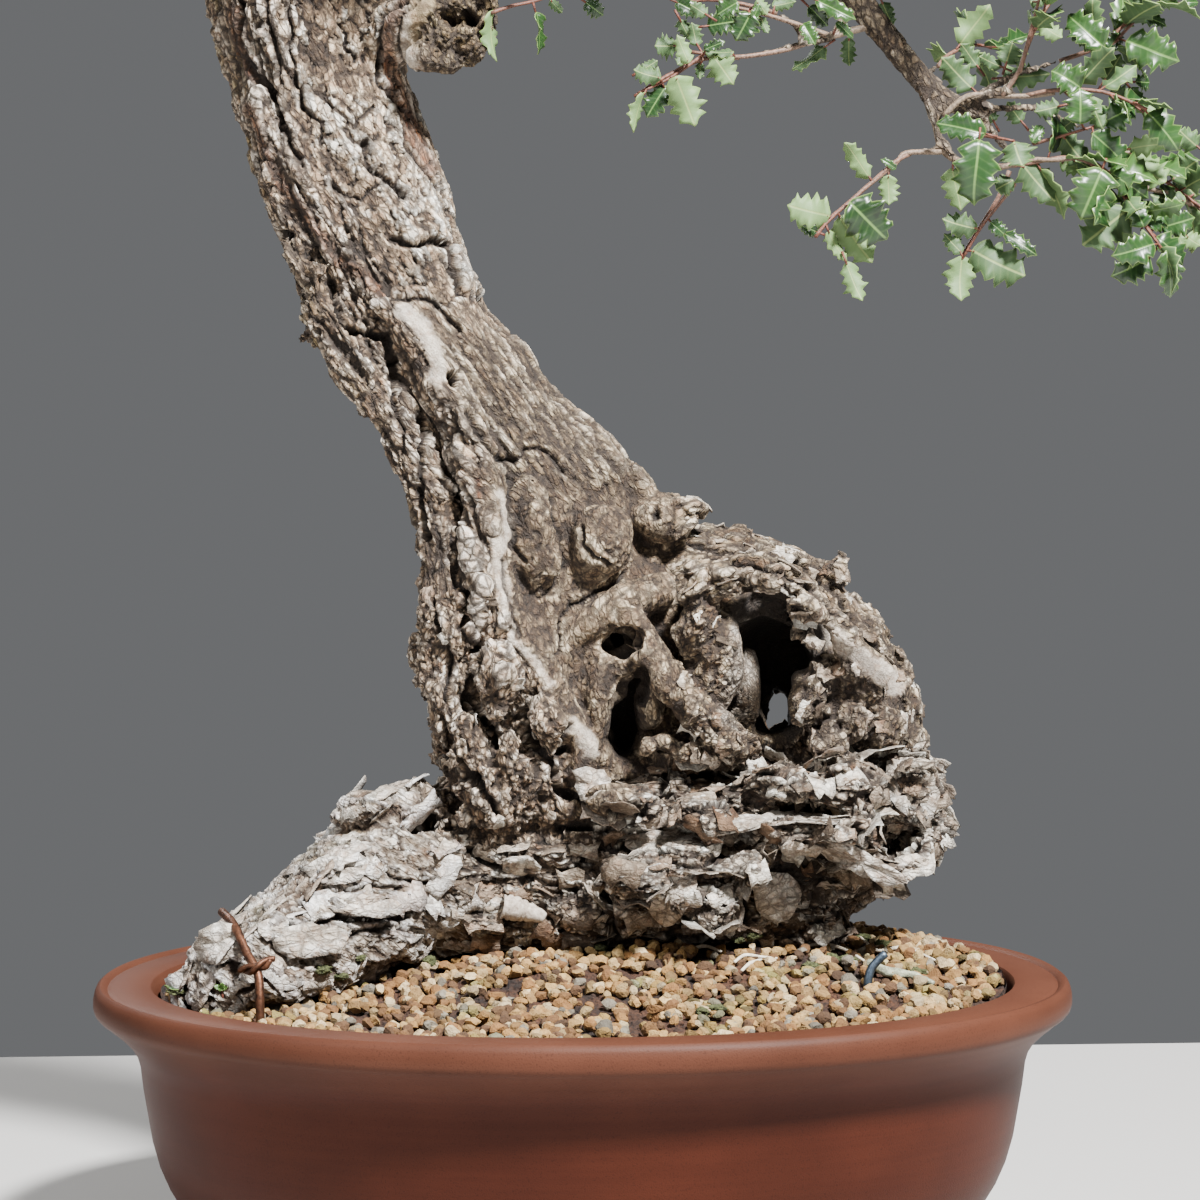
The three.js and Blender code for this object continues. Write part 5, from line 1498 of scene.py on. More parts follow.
def makeBigFlakes():
    rng = np.random.default_rng(12)
    parts, tints = [], []
    for corners in bigFlakes.values():
        found = [seenOn([barkShape], px, row, lift) for px, row, lift in corners]
        known = [point for point in found if point is not None]
        depth = np.median([point[1] for point in known])
        ring = np.array([fromPixel(px, row, (depth if point is None else point[1]))
                         for (px, row, lift), point in zip(corners, found)])
        ring[:, 1] = 0.5 * ring[:, 1] + 0.5 * (depth - np.array([lift for _, _, lift in corners]))
        loop = smoothPath(np.vstack([ring, ring[:1]]), 4)[:-1]
        loop += rng.normal(0, 0.45, loop.shape)
        centre = loop.mean(0)
        middle = centre + 0.5 * (loop - centre) + rng.normal(0, 0.5, loop.shape)
        top = np.vstack([loop, middle, centre + ahead * 0.6])
        count = len(loop)
        faces = []
        for k in range(count):
            after = (k + 1) % count
            faces += [(k, after, count + after, count + k), (count + k, count + after, 2 * count)]
        total = len(top)
        faces += [tuple(i + total for i in face[::-1]) for face in faces]
        faces += [(k, k + total, (k + 1) % count + total, (k + 1) % count) for k in range(count)]
        if np.dot(np.cross(top[1] - top[0], top[count] - top[0]), ahead) > 0:
            faces = [face[::-1] for face in faces]
        parts.append((np.vstack([top, top + 1.1 * ahead]), faces))
        shade = np.clip(0.25 + 0.7 * fractal(top / 3.5, 500, 3), -1, 1)
        colour = paperTone(shade)
        # Painted shade: each plate's back takes its colour darkened to 40 per cent
        tints.append(np.vstack([colour, colour * 0.4]))
    piece = meshFrom("bark_plates", parts)
    turnOutward(piece)
    places = fromFrame(placesOf(piece))
    setBark(piece, np.vstack(tints), places[:, [2, 1, 0]], np.full(len(places), 0.6))
    return piece


# Annealed tie wire: drawn metal gone dull and brown in the weather, with darker streaks along it
def makeWireMaterial(name, dull, bright, roughness):
    material, tree, place = newMaterial(name, {"Roughness": roughness, "Metallic": 0.85})
    # Patina in clouds of 3 mm and scratches of 0.5 mm
    patina = addNode(tree, "TexNoise", "Fac",
                     {"Scale": 330.0, "Detail": 4.0, "Roughness": 0.7, "Vector": place})
    scratch = addNode(tree, "TexNoise", "Fac", {"Scale": 2000.0, "Detail": 2.0, "Vector": place})
    colour = addNode(tree, "ValToRGB", "Color", {"Fac": patina}, [(0.35, dull), (0.65, bright)])
    finishMaterial(tree, colour, scratch, 0.4, 0.0002)
    return material


# Soft natural skin: peeled pale roots, lichen and moss, matte and clouded
def makeSkinMaterial(name, low, high, scale, depth):
    material, tree, place = newMaterial(name, {"Roughness": 0.9})
    clouds = addNode(tree, "TexNoise", "Fac",
                     {"Scale": scale, "Detail": 4.0, "Roughness": 0.7, "Vector": place})
    colour = addNode(tree, "ValToRGB", "Color", {"Fac": clouds}, [(0.35, low), (0.65, high)])
    finishMaterial(tree, colour, clouds, 0.9, depth)
    return material


# Moulded plastic mesh: glossy black strands 1.2 mm wide on a 3 mm grid
def makeScreenMaterial():
    material, tree, place = newMaterial("screenMoulded", {"Roughness": 0.45})
    strands = {"Scale": 330.0, "Mortar Size": 0.2, "Color1": "#191919", "Color2": "#1F1F1F",
               "Mortar": "#383C38", "Vector": place}
    grid = addNode(tree, "TexBrick", None, strands, offset=0.0)
    finishMaterial(tree, grid.outputs["Color"], grid.outputs["Fac"], 0.6, 0.0006)
    return material


def twisted(path, offset, turns, radius):
    path = smoothPath(path, 10)
    ways = np.gradient(path, axis=0)
    side = unit(np.cross(ways[0], [0, 0, 1]))
    turn = offset + np.linspace(0, turns * 2 * math.pi, len(path))
    up = unit(np.cross(side, ways[0]))
    return path + radius * (np.cos(turn)[:, None] * side + np.sin(turn)[:, None] * up)


def makeWires():
    sides = wires["sides"]
    copper = [tubeAlong(smoothPath(wires["root"], 6), [wires["radius"]], sides)]
    for offset in (0, math.pi):
        copper.append(tubeAlong(twisted(wires["twist"], offset, 1.0, 1.3), [1.3], sides))
    rootWire = meshFrom("wire_root", copper)
    settle(rootWire, "tie_wire_brown", makeWireMaterial("copperOxidised", "#33221A", "#6E4935", 0.5),
           replaces=["tie_wire_root"])
    endWire = meshFrom("wire_end", [tubeAlong(smoothPath(wires["end"], 6), [wires["radius"]], sides)])
    settle(endWire, "tie_wire_grey", makeWireMaterial("aluminiumAnodised", "#2B3540", "#596674", 0.42),
           replaces=["tie_wire_end"])


def makeLitter(groundTrees):
    pale = makeSkinMaterial("rootPeeled", "#BDAE96", "#E8DFCC", 500.0, 0.0004)
    lichen = makeSkinMaterial("lichenCrusted", "#6C6E5C", "#AEB298", 420.0, 0.0010)
    mossy = makeSkinMaterial("mossCushion", "#2B2E18", "#5C6138", 900.0, 0.0016)
    rng = np.random.default_rng(3)
    threads = []
    for line in litter["paleRoots"]:
        path = [seenOn(groundTrees, px, row, 1.0) + rng.normal(0, 0.3, 3) for px, row in line]
        threads.append(tubeAlong(smoothPath(path, 5), [0.7, 0.9, 0.5], 6))
    settle(meshFrom("pale_roots", threads), "oak_bark", pale)
    points, faces = tubeAlong(smoothPath([seenOn(groundTrees, *at, 1.5) for at in litter["stick"]], 8),
                              litter["stickRadii"], 12)
    points += 0.5 * np.stack([noise(points / 2.2, 88 + k) for k in range(3)], 1)
    settle(meshFrom("lichen_stick", [(points, faces)]), "oak_bark", lichen)
    tufts = []
    for px, row in litter["moss"]:
        at = seenOn(groundTrees, px, row)
        shape, tris = takeApart(newBall(4))
        shape *= (1 + 0.35 * noise(shape * 2.2, row) + 0.3 * noise(shape * 9, px))[:, None]
        tufts.append((shape * [rng.uniform(2.5, 4.5), rng.uniform(2, 3.5), rng.uniform(1.2, 2.2)] + at, tris))
    settle(meshFrom("moss_tufts", tufts), "potting_soil", mossy)
    path = smoothPath([seenOn([barkShape], px, row, 2.5) for px, row in litter["cone"]], 6)
    points, faces = tubeAlong(path, litter["coneRadii"], 20)
    rings = np.repeat(np.arange(len(path)), 20)
    share = np.where(rings % 3 == 0, 0.86, 1.0) * np.where(rings == 0, 0.55, 1.0)
    centre = path[rings]
    points = centre + share[:, None] * (points - centre)
    points[rings == 0] += 2.5 * unit(path[1] - path[0])
    settle(meshFrom("cone_stub", [(points, faces)]), "oak_bark",
           makeSkinMaterial("barkRinged", "#85776A", "#C4B9AA", 380.0, 0.0006))


settle(makeBigFlakes(), "oak_bark", barkMaterial)
makeWires()
groundTrees = [barkShape, treeOf(nodes["pumice_dressing"])]
makeLitter(groundTrees)
soilMaterial = makeSoilMaterial("loamDark")
screenMaterial = makeScreenMaterial()
for name, material in (("soil", soilMaterial), ("drain_screen_left", screenMaterial),
                       ("drain_screen_right", screenMaterial)):
    for holder in nodes[name].material_slots:
        holder.material = material
print("small things placed")


# Oak leaves: stiff holly-like blades, glossy dark green above and felted grey-green below
def makeLeafMaterial():
    material, tree, place = newMaterial("oakLeafSpiny", {"Roughness": 0.4})
    leaf = addNode(tree, "Attribute", "Vector", attribute_name="leafPlace")
    side, along, tone = addNode(tree, "SeparateXYZ", None, {"Vector": leaf}).outputs
    under = addNode(tree, "Attribute", "Fac", attribute_name="leafUnder")
    rim = addNode(tree, "Attribute", "Fac", attribute_name="leafMargin")
    margin = addNode(tree, "Math", 0, {0: rim, 1: 26.0}, operation="POWER")
    # Midrib, side veins 3 mm apart that lean forward, mottling of 4 mm
    lean = addNode(tree, "Math", 0, {0: side, 1: -0.16, 2: along}, operation="MULTIPLY_ADD")
    step = addNode(tree, "Math", 0, {0: lean, 1: 7.5}, operation="MULTIPLY")
    fold = addNode(tree, "Math", 0, {0: step, 1: 0.5}, operation="PINGPONG")
    veins = addNode(tree, "ValToRGB", "Color", {"Fac": fold}, [(0.0, 1.0), (0.1, 0.35), (0.25, 0.0)])
    midrib = addNode(tree, "ValToRGB", "Color", {"Fac": side}, [(0.0, 0.85), (0.035, 0.7), (0.08, 0.0)])
    both = addNode(tree, "Math", 0, {0: veins, 1: 0.12, 2: midrib}, operation="MULTIPLY_ADD")
    mottle = addNode(tree, "TexNoise", "Fac", {"Scale": 130.0, "Detail": 2.0, "Vector": place})
    shade = addNode(tree, "Math", 0, {0: mottle, 1: 0.35, 2: tone}, operation="MULTIPLY_ADD")
    faces = []
    for vein, stops in (("#648246", [(0.1, "#12240D"), (0.55, "#203D1A"), (1.0, "#3A5826")]),
                        ("#7F8D55", [(0.1, "#273C20"), (0.6, "#3D5830"), (1.0, "#5F7A47")])):
        green = addNode(tree, "ValToRGB", "Color", {"Fac": shade}, stops)
        faces.append(addNode(tree, "Mix", 2, {0: both, 6: green, 7: vein}, data_type="RGBA"))
    blade = addNode(tree, "Mix", 2, {0: under, 6: faces[0], 7: faces[1]}, data_type="RGBA")
    edged = addNode(tree, "Mix", 2, {0: margin, 6: blade, 7: "#72894A"}, data_type="RGBA")
    dull = addNode(tree, "Math", 0, {0: under, 1: 0.3, 2: 0.33}, operation="MULTIPLY_ADD")
    tree.links.new(dull, tree.nodes["Principled BSDF"].inputs["Roughness"])
    relief = addNode(tree, "Math", 0, {0: both, 1: -1.0, 2: mottle}, operation="MULTIPLY_ADD")
    finishMaterial(tree, edged, relief, 0.25, 0.0004)
    return material


# Young oak twigs: smooth red-brown skin that turns grey and scaly with age
def makeTwigMaterial():
    material, tree, place = newMaterial("oakTwigYoung", {"Roughness": 0.6})
    age = addNode(tree, "Attribute", "Fac", attribute_name="twigAge")
    # Lenticels and scales about 1 mm long
    scales = addNode(tree, "TexNoise", "Fac", {"Scale": 900.0, "Detail": 3.0, "Vector": place})
    young = addNode(tree, "ValToRGB", "Color", {"Fac": scales}, [(0.3, "#43251B"), (0.7, "#76402E")])
    old = addNode(tree, "ValToRGB", "Color", {"Fac": scales}, [(0.3, "#4C3F33"), (0.7, "#8E7C67")])
    colour = addNode(tree, "Mix", 2, {0: age, 6: young, 7: old}, data_type="RGBA")
    finishMaterial(tree, colour, scales, 0.6, 0.0005)
    return material


# Half of a leaf's outline as (share of its length, share of its half width): hollows and spiny teeth
leafEdge = [(0.04, 0.42), (0.18, 1.02), (0.29, 0.7), (0.41, 1.2), (0.51, 0.74), (0.62, 1.12), (0.71, 0.6),
            (0.82, 0.84), (0.89, 0.36)]


def leafBlank(fine):
    flat = [(k, 0.0) for k in (0, 0.2, 0.41, 0.61, 0.8, 1.0)]
    tris = []
    for side in (1, -1):
        first = len(flat)
        flat += [(v, side * w) for v, w in leafEdge]
        e = list(range(first, first + 9))
        part = [(0, e[0], 1), (1, e[0], e[1])]
        for i in (1, 2, 3):
            tooth, hollow, after = e[2 * i - 1], e[2 * i], e[2 * i + 1]
            part += [(i, tooth, hollow), (i, hollow, i + 1), (i + 1, hollow, after)]
        part += [(4, e[7], e[8]), (4, e[8], 5)]
        tris += [t if side == -1 else t[::-1] for t in part]
    rims = [0] + list(range(6, 15)) + [5] + list(range(23, 14, -1))
    flat, tris = np.array(flat, float), np.array(tris)
    edge = np.zeros(len(flat))
    edge[6:] = 1
    edge[[0, 5]] = 1
    if fine:
        middle, points, margins = {}, list(map(tuple, flat)), list(edge)
        rimPairs = {frozenset(p) for p in zip(rims, rims[1:] + rims[:1])}

        def between(a, b):
            key = frozenset((a, b))
            if key not in middle:
                middle[key] = len(points)
                points.append(tuple((flat[a] + flat[b]) / 2))
                margins.append(1.0 if key in rimPairs else (edge[a] + edge[b]) / 2)
            return middle[key]
        finer = []
        for a, b, c in tris:
            ab, bc, ca = between(a, b), between(b, c), between(c, a)
            finer += [(a, ab, ca), (ab, b, bc), (ca, bc, c), (ab, bc, ca)]
        loop = []
        for a, b in zip(rims, rims[1:] + rims[:1]):
            loop += [a, between(a, b)]
        flat, tris, rims, edge = np.array(points), np.array(finer), loop, np.array(margins)
    return flat, tris, np.array(rims), edge


leafBlanks = {fine: leafBlank(fine) for fine in (False, True)}


# Shoots of the crown and of the hanging twigs, each from its seat on the wood to its tip
shoots = {
    "spray_01": [(-212.5, 48.8, 637.5), (-229.4, 67.9, 646.9), (-246.4, 87, 647.1)],
    "spray_02": [(-213.3, -0.7, 641), (-217.5, -24.2, 652.1), (-221.7, -47.7, 651.8)],
    "spray_03": [(-245.2, 39.9, 638.8), (-261.6, 59.7, 643.5), (-278.1, 79.4, 642.3)],
    "spray_04": [(-276, 2.2, 628.9), (-298.4, -7.2, 633.5), (-320.8, -16.6, 628.7)],
    "spray_05": [(-101.7, 119.7, 658.5), (-82.2, 133.8, 673.4), (-62.7, 147.8, 682.3)],
    "spray_06": [(-148.3, 184.9, 645.6), (-161.1, 204.9, 648), (-174, 225, 643.5)],
    "spray_07": [(-26.1, 83.4, 687.8), (-5, 68.8, 700), (16.2, 54.1, 702.6)],
    "spray_08": [(-19.4, 140.9, 694.3), (-22.2, 165.2, 705.1), (-24.9, 189.5, 702.7)],
    "spray_09": [(54, 142, 677.2), (75, 148, 685), (96.1, 154, 687)],
    "spray_10": [(-130.6, -28.7, 693.5), (-151.5, -34.3, 702.6), (-172.4, -40, 700.1)],
    "spray_11": [(-94.5, -60, 699.4), (-73, -75.3, 710.5), (-51.5, -90.7, 710.7)],
    "spray_12": [(-132.1, -101.5, 686.2), (-142, -123.4, 693.1), (-151.8, -145.3, 692.3)],
    "spray_13": [(-23.6, -4.8, 725.8), (-16.8, -27.5, 733.3), (-10, -50.3, 734.9)],
    "spray_14": [(70.9, 10, 711.8), (95.2, 10, 717.9), (119.5, 10, 719.6)],
    "spray_15": [(-147.3, 67.6, 729.5), (-150.6, 89.9, 746), (-154, 112.3, 751.9)],
    "spray_16": [(-199.9, 57.1, 735.8), (-218.1, 58.8, 750.8), (-236.3, 60.5, 756.6)],
    "spray_17": [(-13, -38.9, 649.5), (-23.2, -59.9, 665), (-33.4, -80.9, 670.6)],
    "spray_18": [(39.5, -58, 649), (57.3, -73.1, 666), (75.1, -88.1, 673.4)],
    "spray_19": [(124.9, 23.6, 632.5), (143.1, 7.3, 637.8), (161.2, -9, 631.8)],
    "spray_20": [(128.8, 82.6, 641), (128.9, 106.7, 651.8), (128.9, 130.7, 650.2)],
    "spray_21": [(191.1, 72.7, 612.8), (217.5, 77.5, 614.1), (243.9, 82.2, 604.1)],
    "spray_22": [(150, -24.6, 611), (158.5, -45.2, 617), (167, -65.8, 618.8)],
    "spray_23": [(238.8, -1.6, 587.6), (265.7, 2.7, 594.2), (292.5, 7, 590.5)],
    "spray_24": [(-2.4, -2.8, 794.9), (17.9, -18.1, 803.3), (38.1, -33.5, 801.7)],
    "spray_25": [(-117.3, 70.9, 800.5), (-134.8, 87.5, 816.5), (-152.2, 104.2, 825.8)],
    "spray_26": [(-51, 20.9, 821.1), (-49.2, 15.5, 847.3), (-47.4, 10.1, 861.6)],
    "spray_27": [(140, -21, 486), (133, -25, 482), (119, -27, 470), (104, -32, 457), (97, -34, 449)],
    "spray_28": [(168, -21, 481), (186, -23, 481), (212, -26, 484), (230, -30, 470), (246, -35, 446)],
    "spray_29": [(190, -22, 511), (202, -26, 513), (222, -30, 512), (240, -36, 504)],
    "spray_30": [(187, -23, 521), (191, -24, 534), (198, -24, 548), (208, -22, 560)],
    "spray_31": [(186, -8, 480), (181, -7, 468), (173, -6, 455), (164, -4, 440)],
    "spray_32": [(224, 0, 498), (240, 2, 488), (258, 0, 476), (276, -4, 462)],
    "spray_33": [(208, -6, 528), (224, -10, 534), (238, -14, 546), (250, -18, 560)],
    "spray_34": [(158, 14, 528), (164, 24, 534), (176, 34, 540), (190, 42, 540)],
    "spray_35": [(66, -18, 527), (50, -20, 526), (34, -24, 518), (20, -28, 509)],
    "spray_36": [(84, -4, 548), (70, -2, 552), (54, -2, 554), (40, 0, 552)],
    "spray_37": [(-44, 2, 556), (-30, -2, 557), (-16, -6, 562), (0, -10, 572)],
}
foliage = {"leafLength": 25.0, "leafWidth": 0.56, "thickness": 0.4, "spacing": 2.7, "stalk": 3.6,
           "sideTwigs": 4, "dense": ("spray_28", "spray_29", "spray_30", "spray_32", "spray_33", "spray_34")}


def newBunch():
    return {"points": [], "loops": [], "sizes": [], "stuff": [], "leaf": [], "under": [], "margin": [],
            "age": [], "count": 0}


def addPart(bunch, points, faces, stuff, leaf=None, under=0.0, margin=0.0, age=0.0):
    start = bunch["count"]
    for face in faces:
        bunch["loops"].extend(int(i) + start for i in face)
        bunch["sizes"].append(len(face))
        bunch["stuff"].append(stuff)
    count = len(points)
    bunch["points"].append(points)
    bunch["leaf"].append(np.zeros((count, 3)) if leaf is None else leaf)
    for key, value in (("under", under), ("margin", margin), ("age", age)):
        bunch[key].append(np.zeros(count) + value)
    bunch["count"] += count


def growLeaf(bunch, base, way, face, length, width, tone, rng, fine=False, curl=None):
    flat, tris, rims, edge = leafBlanks[fine]
    rim = edge > 0.99
    along = flat[:, 0] + rim * rng.normal(0, 0.012, len(flat))
    across = flat[:, 1] * (1 + rim * rng.normal(0, 0.07, len(flat)))
    along[0] = 0
    curl = rng.uniform(0.1, 1.1) if curl is None else curl
    lift, fold = 0.3 * curl, rng.uniform(0.1, 0.5)
    angle = curl * along - lift
    x = length / curl * (np.sin(angle) + math.sin(lift))
    z = length / curl * (np.cos(angle) - math.cos(lift))
    y = across * width / 2 * math.cos(fold)
    z += np.abs(across) * width / 2 * math.sin(fold) * (1 - 0.5 * along)
    phase = rng.uniform(0, 2 * math.pi)
    wave = np.sin(9.5 * along + phase + 1.4 * np.sign(across))
    z += 0.16 * width * np.abs(across) ** 2 * wave * rng.uniform(0.5, 1.3)
    turn = rng.uniform(-0.5, 0.5) * (along - 0.3)
    y, z = y * np.cos(turn) - z * np.sin(turn), y * np.sin(turn) + z * np.cos(turn)
    forward = unit(way)
    up = unit(face - np.dot(face, forward) * forward)
    left = np.cross(up, forward)
    blade = base + x[:, None] * forward + y[:, None] * left + z[:, None] * up
    half = foliage["thickness"] / 2
    count = len(blade)
    faces = [tuple(t) for t in tris] + [tuple(t[::-1] + count) for t in tris]
    faces += [(a, b, b + count, a + count) for a, b in zip(rims, np.roll(rims, -1))]
    leaf = np.stack([np.abs(flat[:, 1]), flat[:, 0], np.full(count, tone)], 1)
    addPart(bunch, np.vstack([blade + half * up, blade - half * up]), faces, 0, np.vstack([leaf, leaf]),
            np.repeat([0.0, 1.0], count), np.tile(edge, 2))


def growTwig(bunch, path, radii, age, sides=6):
    points, faces = tubeAlong(path, radii, sides)
    ages = np.interp(np.linspace(0, 1, len(path)), [0, 1], age)
    addPart(bunch, points, faces, 1, age=np.repeat(ages, sides))


def finishBunch(name, bunch, materials, slot, replaces):
    points = inFrame(np.vstack(bunch["points"]))
    piece = newMesh(name, points, bunch["loops"], np.array(bunch["sizes"]))
    settle(piece, slot, *materials, replaces=replaces)
    piece.data.polygons.foreach_set("material_index", np.array(bunch["stuff"], np.int32))
    setAttribute(piece, "leafPlace", np.vstack(bunch["leaf"]), "FLOAT_VECTOR")
    for key, name in (("under", "leafUnder"), ("margin", "leafMargin"), ("age", "twigAge")):
        setAttribute(piece, name, np.concatenate(bunch[key]))
    return piece


def leafAlong(bunch, path, rng, first=0.1, spacing=foliage["spacing"]):
    lengths = np.concatenate([[0], np.cumsum(np.linalg.norm(np.diff(path, axis=0), axis=1))])
    count = max(3, int(lengths[-1] * (1 - first) / spacing))
    turn = rng.uniform(0, 2 * math.pi)
    for k in range(count):
        share = first + (1 - first) * (k + 0.5) / count
        at = np.array([np.interp(share * lengths[-1], lengths, path[:, i]) for i in range(3)])
        i = min(np.searchsorted(lengths, share * lengths[-1]), len(path) - 1)
        heading = unit(path[i] - path[i - 1])
        side = unit(np.cross(heading, [0.2, 0.1, 1.0]))
        other = np.cross(heading, side)
        turn += math.radians(144) + rng.uniform(-0.3, 0.3)
        radial = math.cos(turn) * side + math.sin(turn) * other
        opened = rng.uniform(0.7, 1.25) if k < count - 2 else rng.uniform(0.15, 0.5)
        way = unit(heading * math.cos(opened) + radial * math.sin(opened) + [0, 0, rng.uniform(-0.25, 0.15)])
        face = unit(np.array([0, 0, 0.7]) + 0.4 * heading - 0.3 * radial + rng.normal(0, 0.35, 3))
        if abs(np.dot(face, way)) > 0.95:
            face = other
        stalk = at + way * foliage["stalk"]
        growTwig(bunch, [at, stalk + way * 0.8], [0.55, 0.4], [0, 0], 4)
        length = foliage["leafLength"] * rng.uniform(0.62, 1.0)
        growLeaf(bunch, stalk, way, face, length, length * foliage["leafWidth"] * rng.uniform(0.85, 1.15),
                 rng.uniform(0.15, 0.75), rng)


def makeCrownSpray(name, path, seed):
    rng = np.random.default_rng(seed)
    bunch = newBunch()
    path = smoothPath(path)
    growTwig(bunch, path, [1.9, 0.9], [0.6, 0.0])
    leafAlong(bunch, path, rng)
    heading = unit(path[-1] - path[0])
    side = unit(np.cross(heading, [0.1, 0.2, 1.0]))
    for k in range(foliage["sideTwigs"]):
        start = path[int(len(path) * (0.12 + 0.2 * k))]
        turn = k * 2.4 + rng.uniform(0, 1)
        radial = math.cos(turn) * side + math.sin(turn) * np.cross(heading, side)
        way = unit(0.75 * heading + 0.8 * radial)
        reach = rng.uniform(14, 21)
        tip = start + way * reach + [0, 0, rng.uniform(-3, 2)]
        twig = smoothPath([start, start + way * reach * 0.5, tip])
        growTwig(bunch, twig, [1.1, 0.7], [0.3, 0.0], 5)
        leafAlong(bunch, twig, rng, 0.2)
    finishBunch(name + "_leaves", bunch, (leafMaterial, twigMaterial), "oak_foliage", [name])


# Leaves in front of the camera, placed in the photograph's pixels: base across and down,
# tip across and down, width, look (g glossy top, d dark top, p pale back, m dull back), depth in millimetres
# Painted shade: look d is a top painted darker for a leaf that lies in shade; m is a back painted darker than
# p
handLeaves = [
    (676, 76, 696, 126, 31, "p", -32), (666, 86, 646, 118, 22, "d", -24),
    (645, 92, 630, 132, 9, "p", -28), (661, 78, 632, 71, 19, "m", -30), (676, 46, 654, 46, 22, "m", -8),
    (689, 63, 677, 34, 14, "p", -30), (713, 55, 734, 85, 26, "p", -24), (704, 50, 725, 42, 10, "d", -26),
    (734, 52, 703, 52, 9, "m", -24), (751, 13, 736, 41, 26, "d", -22), (761, 17, 767, 32, 9, "m", -20),
    (753, 20, 757, 10, 10, "g", -22), (707, 15, 690, 4, 14, "m", -20), (738, 2, 716, 14, 20, "g", -24),
    (757, 0, 763, 9, 14, "p", -22), (772, 6, 796, 1, 12, "m", -16), (816, 0, 855, 21, 18, "g", -20),
    (836, 22, 854, 38, 10, "g", -18), (803, 24, 815, 46, 16, "g", -20), (808, 6, 830, 26, 16, "d", 4),
    (849, 38, 849, 66, 15, "m", 14), (826, 46, 792, 70, 13, "m", 14), (882, 2, 893, 26, 18, "m", 20),
    (680, 20, 690, 38, 14, "m", -16), (697, 46, 692, 22, 13, "m", -18), (707, 26, 736, 22, 22, "d", -6),
    (676, 2, 700, 14, 18, "d", -12), (690, 52, 676, 66, 12, "m", -14), (700, 62, 700, 80, 9, "m", -20),
    (642, 70, 655, 62, 12, "m", -16), (830, 216, 787, 205, 32, "p", -34),
    (817, 232, 803, 227, 15, "d", -22), (828, 231, 846, 262, 13, "p", -32),
    (846, 262, 861, 304, 20, "p", -32), (839, 216, 872, 262, 34, "p", -30),
    (849, 202, 888, 240, 42, "d", -36), (870, 178, 843, 141, 19, "p", -27),
    (888, 175, 890, 206, 18, "p", -26), (896, 169, 883, 160, 8, "g", -26), (973, 89, 940, 56, 26, "m", 0),
    (978, 67, 960, 43, 16, "m", 2), (1002, 67, 976, 57, 14, "m", 0), (1006, 64, 1013, 42, 22, "m", -2),
    (1002, 78, 1051, 73, 22, "m", 6), (1036, 19, 1062, 41, 20, "p", -24),
    (1030, 2, 1046, 0, 12, "m", -20), (1104, 48, 1068, 10, 32, "g", -22),
    (1104, 50, 1070, 30, 20, "g", -16), (1107, 52, 1091, 70, 18, "m", -14),
    (1108, 51, 1122, 29, 16, "d", -14), (1126, 41, 1177, 64, 36, "g", -22),
    (1139, 15, 1125, 0, 30, "m", -18), (1139, 16, 1169, 25, 14, "d", -14),
    (1160, 4, 1176, 0, 14, "m", -12), (1182, 3, 1194, 2, 10, "g", -14),
    (1081, 88, 1051, 68, 32, "g", -30), (1104, 81, 1121, 55, 22, "m", -6),
    (1135, 82, 1151, 82, 16, "d", -10), (1130, 88, 1147, 112, 12, "g", -12),
    (1135, 102, 1168, 122, 16, "p", -14), (1080, 124, 1080, 88, 30, "g", -34),
    (1135, 106, 1108, 88, 22, "m", -18), (1103, 123, 1136, 106, 28, "g", -30),
    (986, 134, 935, 120, 26, "g", -36), (1060, 106, 1034, 112, 18, "m", -12),
    (994, 122, 984, 102, 16, "m", 6), (1022, 122, 1006, 102, 18, "m", 4),
    (1014, 142, 1021, 169, 31, "m", -34), (979, 139, 972, 207, 40, "g", -44),
    (952, 168, 963, 210, 24, "p", -18), (1013, 180, 994, 191, 21, "m", -20),
    (1023, 165, 1054, 202, 30, "m", -24), (1032, 143, 1043, 122, 13, "g", -22),
    (1060, 130, 1074, 120, 16, "m", -10), (1064, 137, 1090, 168, 26, "m", -24),
    (1060, 162, 1086, 172, 16, "p", -20), (1092, 133, 1134, 168, 26, "g", -32),
    (1102, 169, 1080, 221, 40, "g", -40), (1127, 210, 1082, 246, 40, "m", -34),
    (1111, 173, 1151, 198, 22, "g", -36), (1144, 227, 1130, 193, 22, "g", -36),
    (1145, 224, 1168, 212, 26, "g", -32), (1160, 228, 1193, 219, 26, "g", -26),
    (1154, 244, 1111, 258, 28, "g", -40), (1150, 258, 1111, 278, 30, "d", -32),
    (1166, 250, 1176, 299, 23, "g", -38), (1128, 149, 1175, 141, 16, "p", -28),
    (1133, 157, 1164, 188, 34, "p", -22), (1186, 201, 1149, 196, 20, "m", -8),
    (1198, 147, 1177, 131, 24, "m", -10), (1172, 180, 1196, 160, 28, "m", -4),
    (1196, 196, 1178, 176, 24, "m", -2), (1186, 236, 1200, 246, 18, "p", -12),
    (1178, 232, 1183, 248, 12, "p", -14), (1196, 220, 1206, 200, 20, "m", 0),
    (977, 229, 941, 220, 24, "m", -12), (962, 253, 944, 233, 14, "m", -10),
    (962, 256, 958, 304, 27, "p", -10), (972, 250, 1026, 279, 38, "m", -12),
    (990, 222, 1006, 236, 14, "g", -14), (1004, 234, 1036, 256, 15, "d", -14),
    (493, 10, 490, 62, 12, "p", 2), (536, 12, 541, 54, 9, "g", 4), (550, 0, 560, 10, 10, "m", 6),
    (585, 2, 604, 16, 16, "d", 10),
]

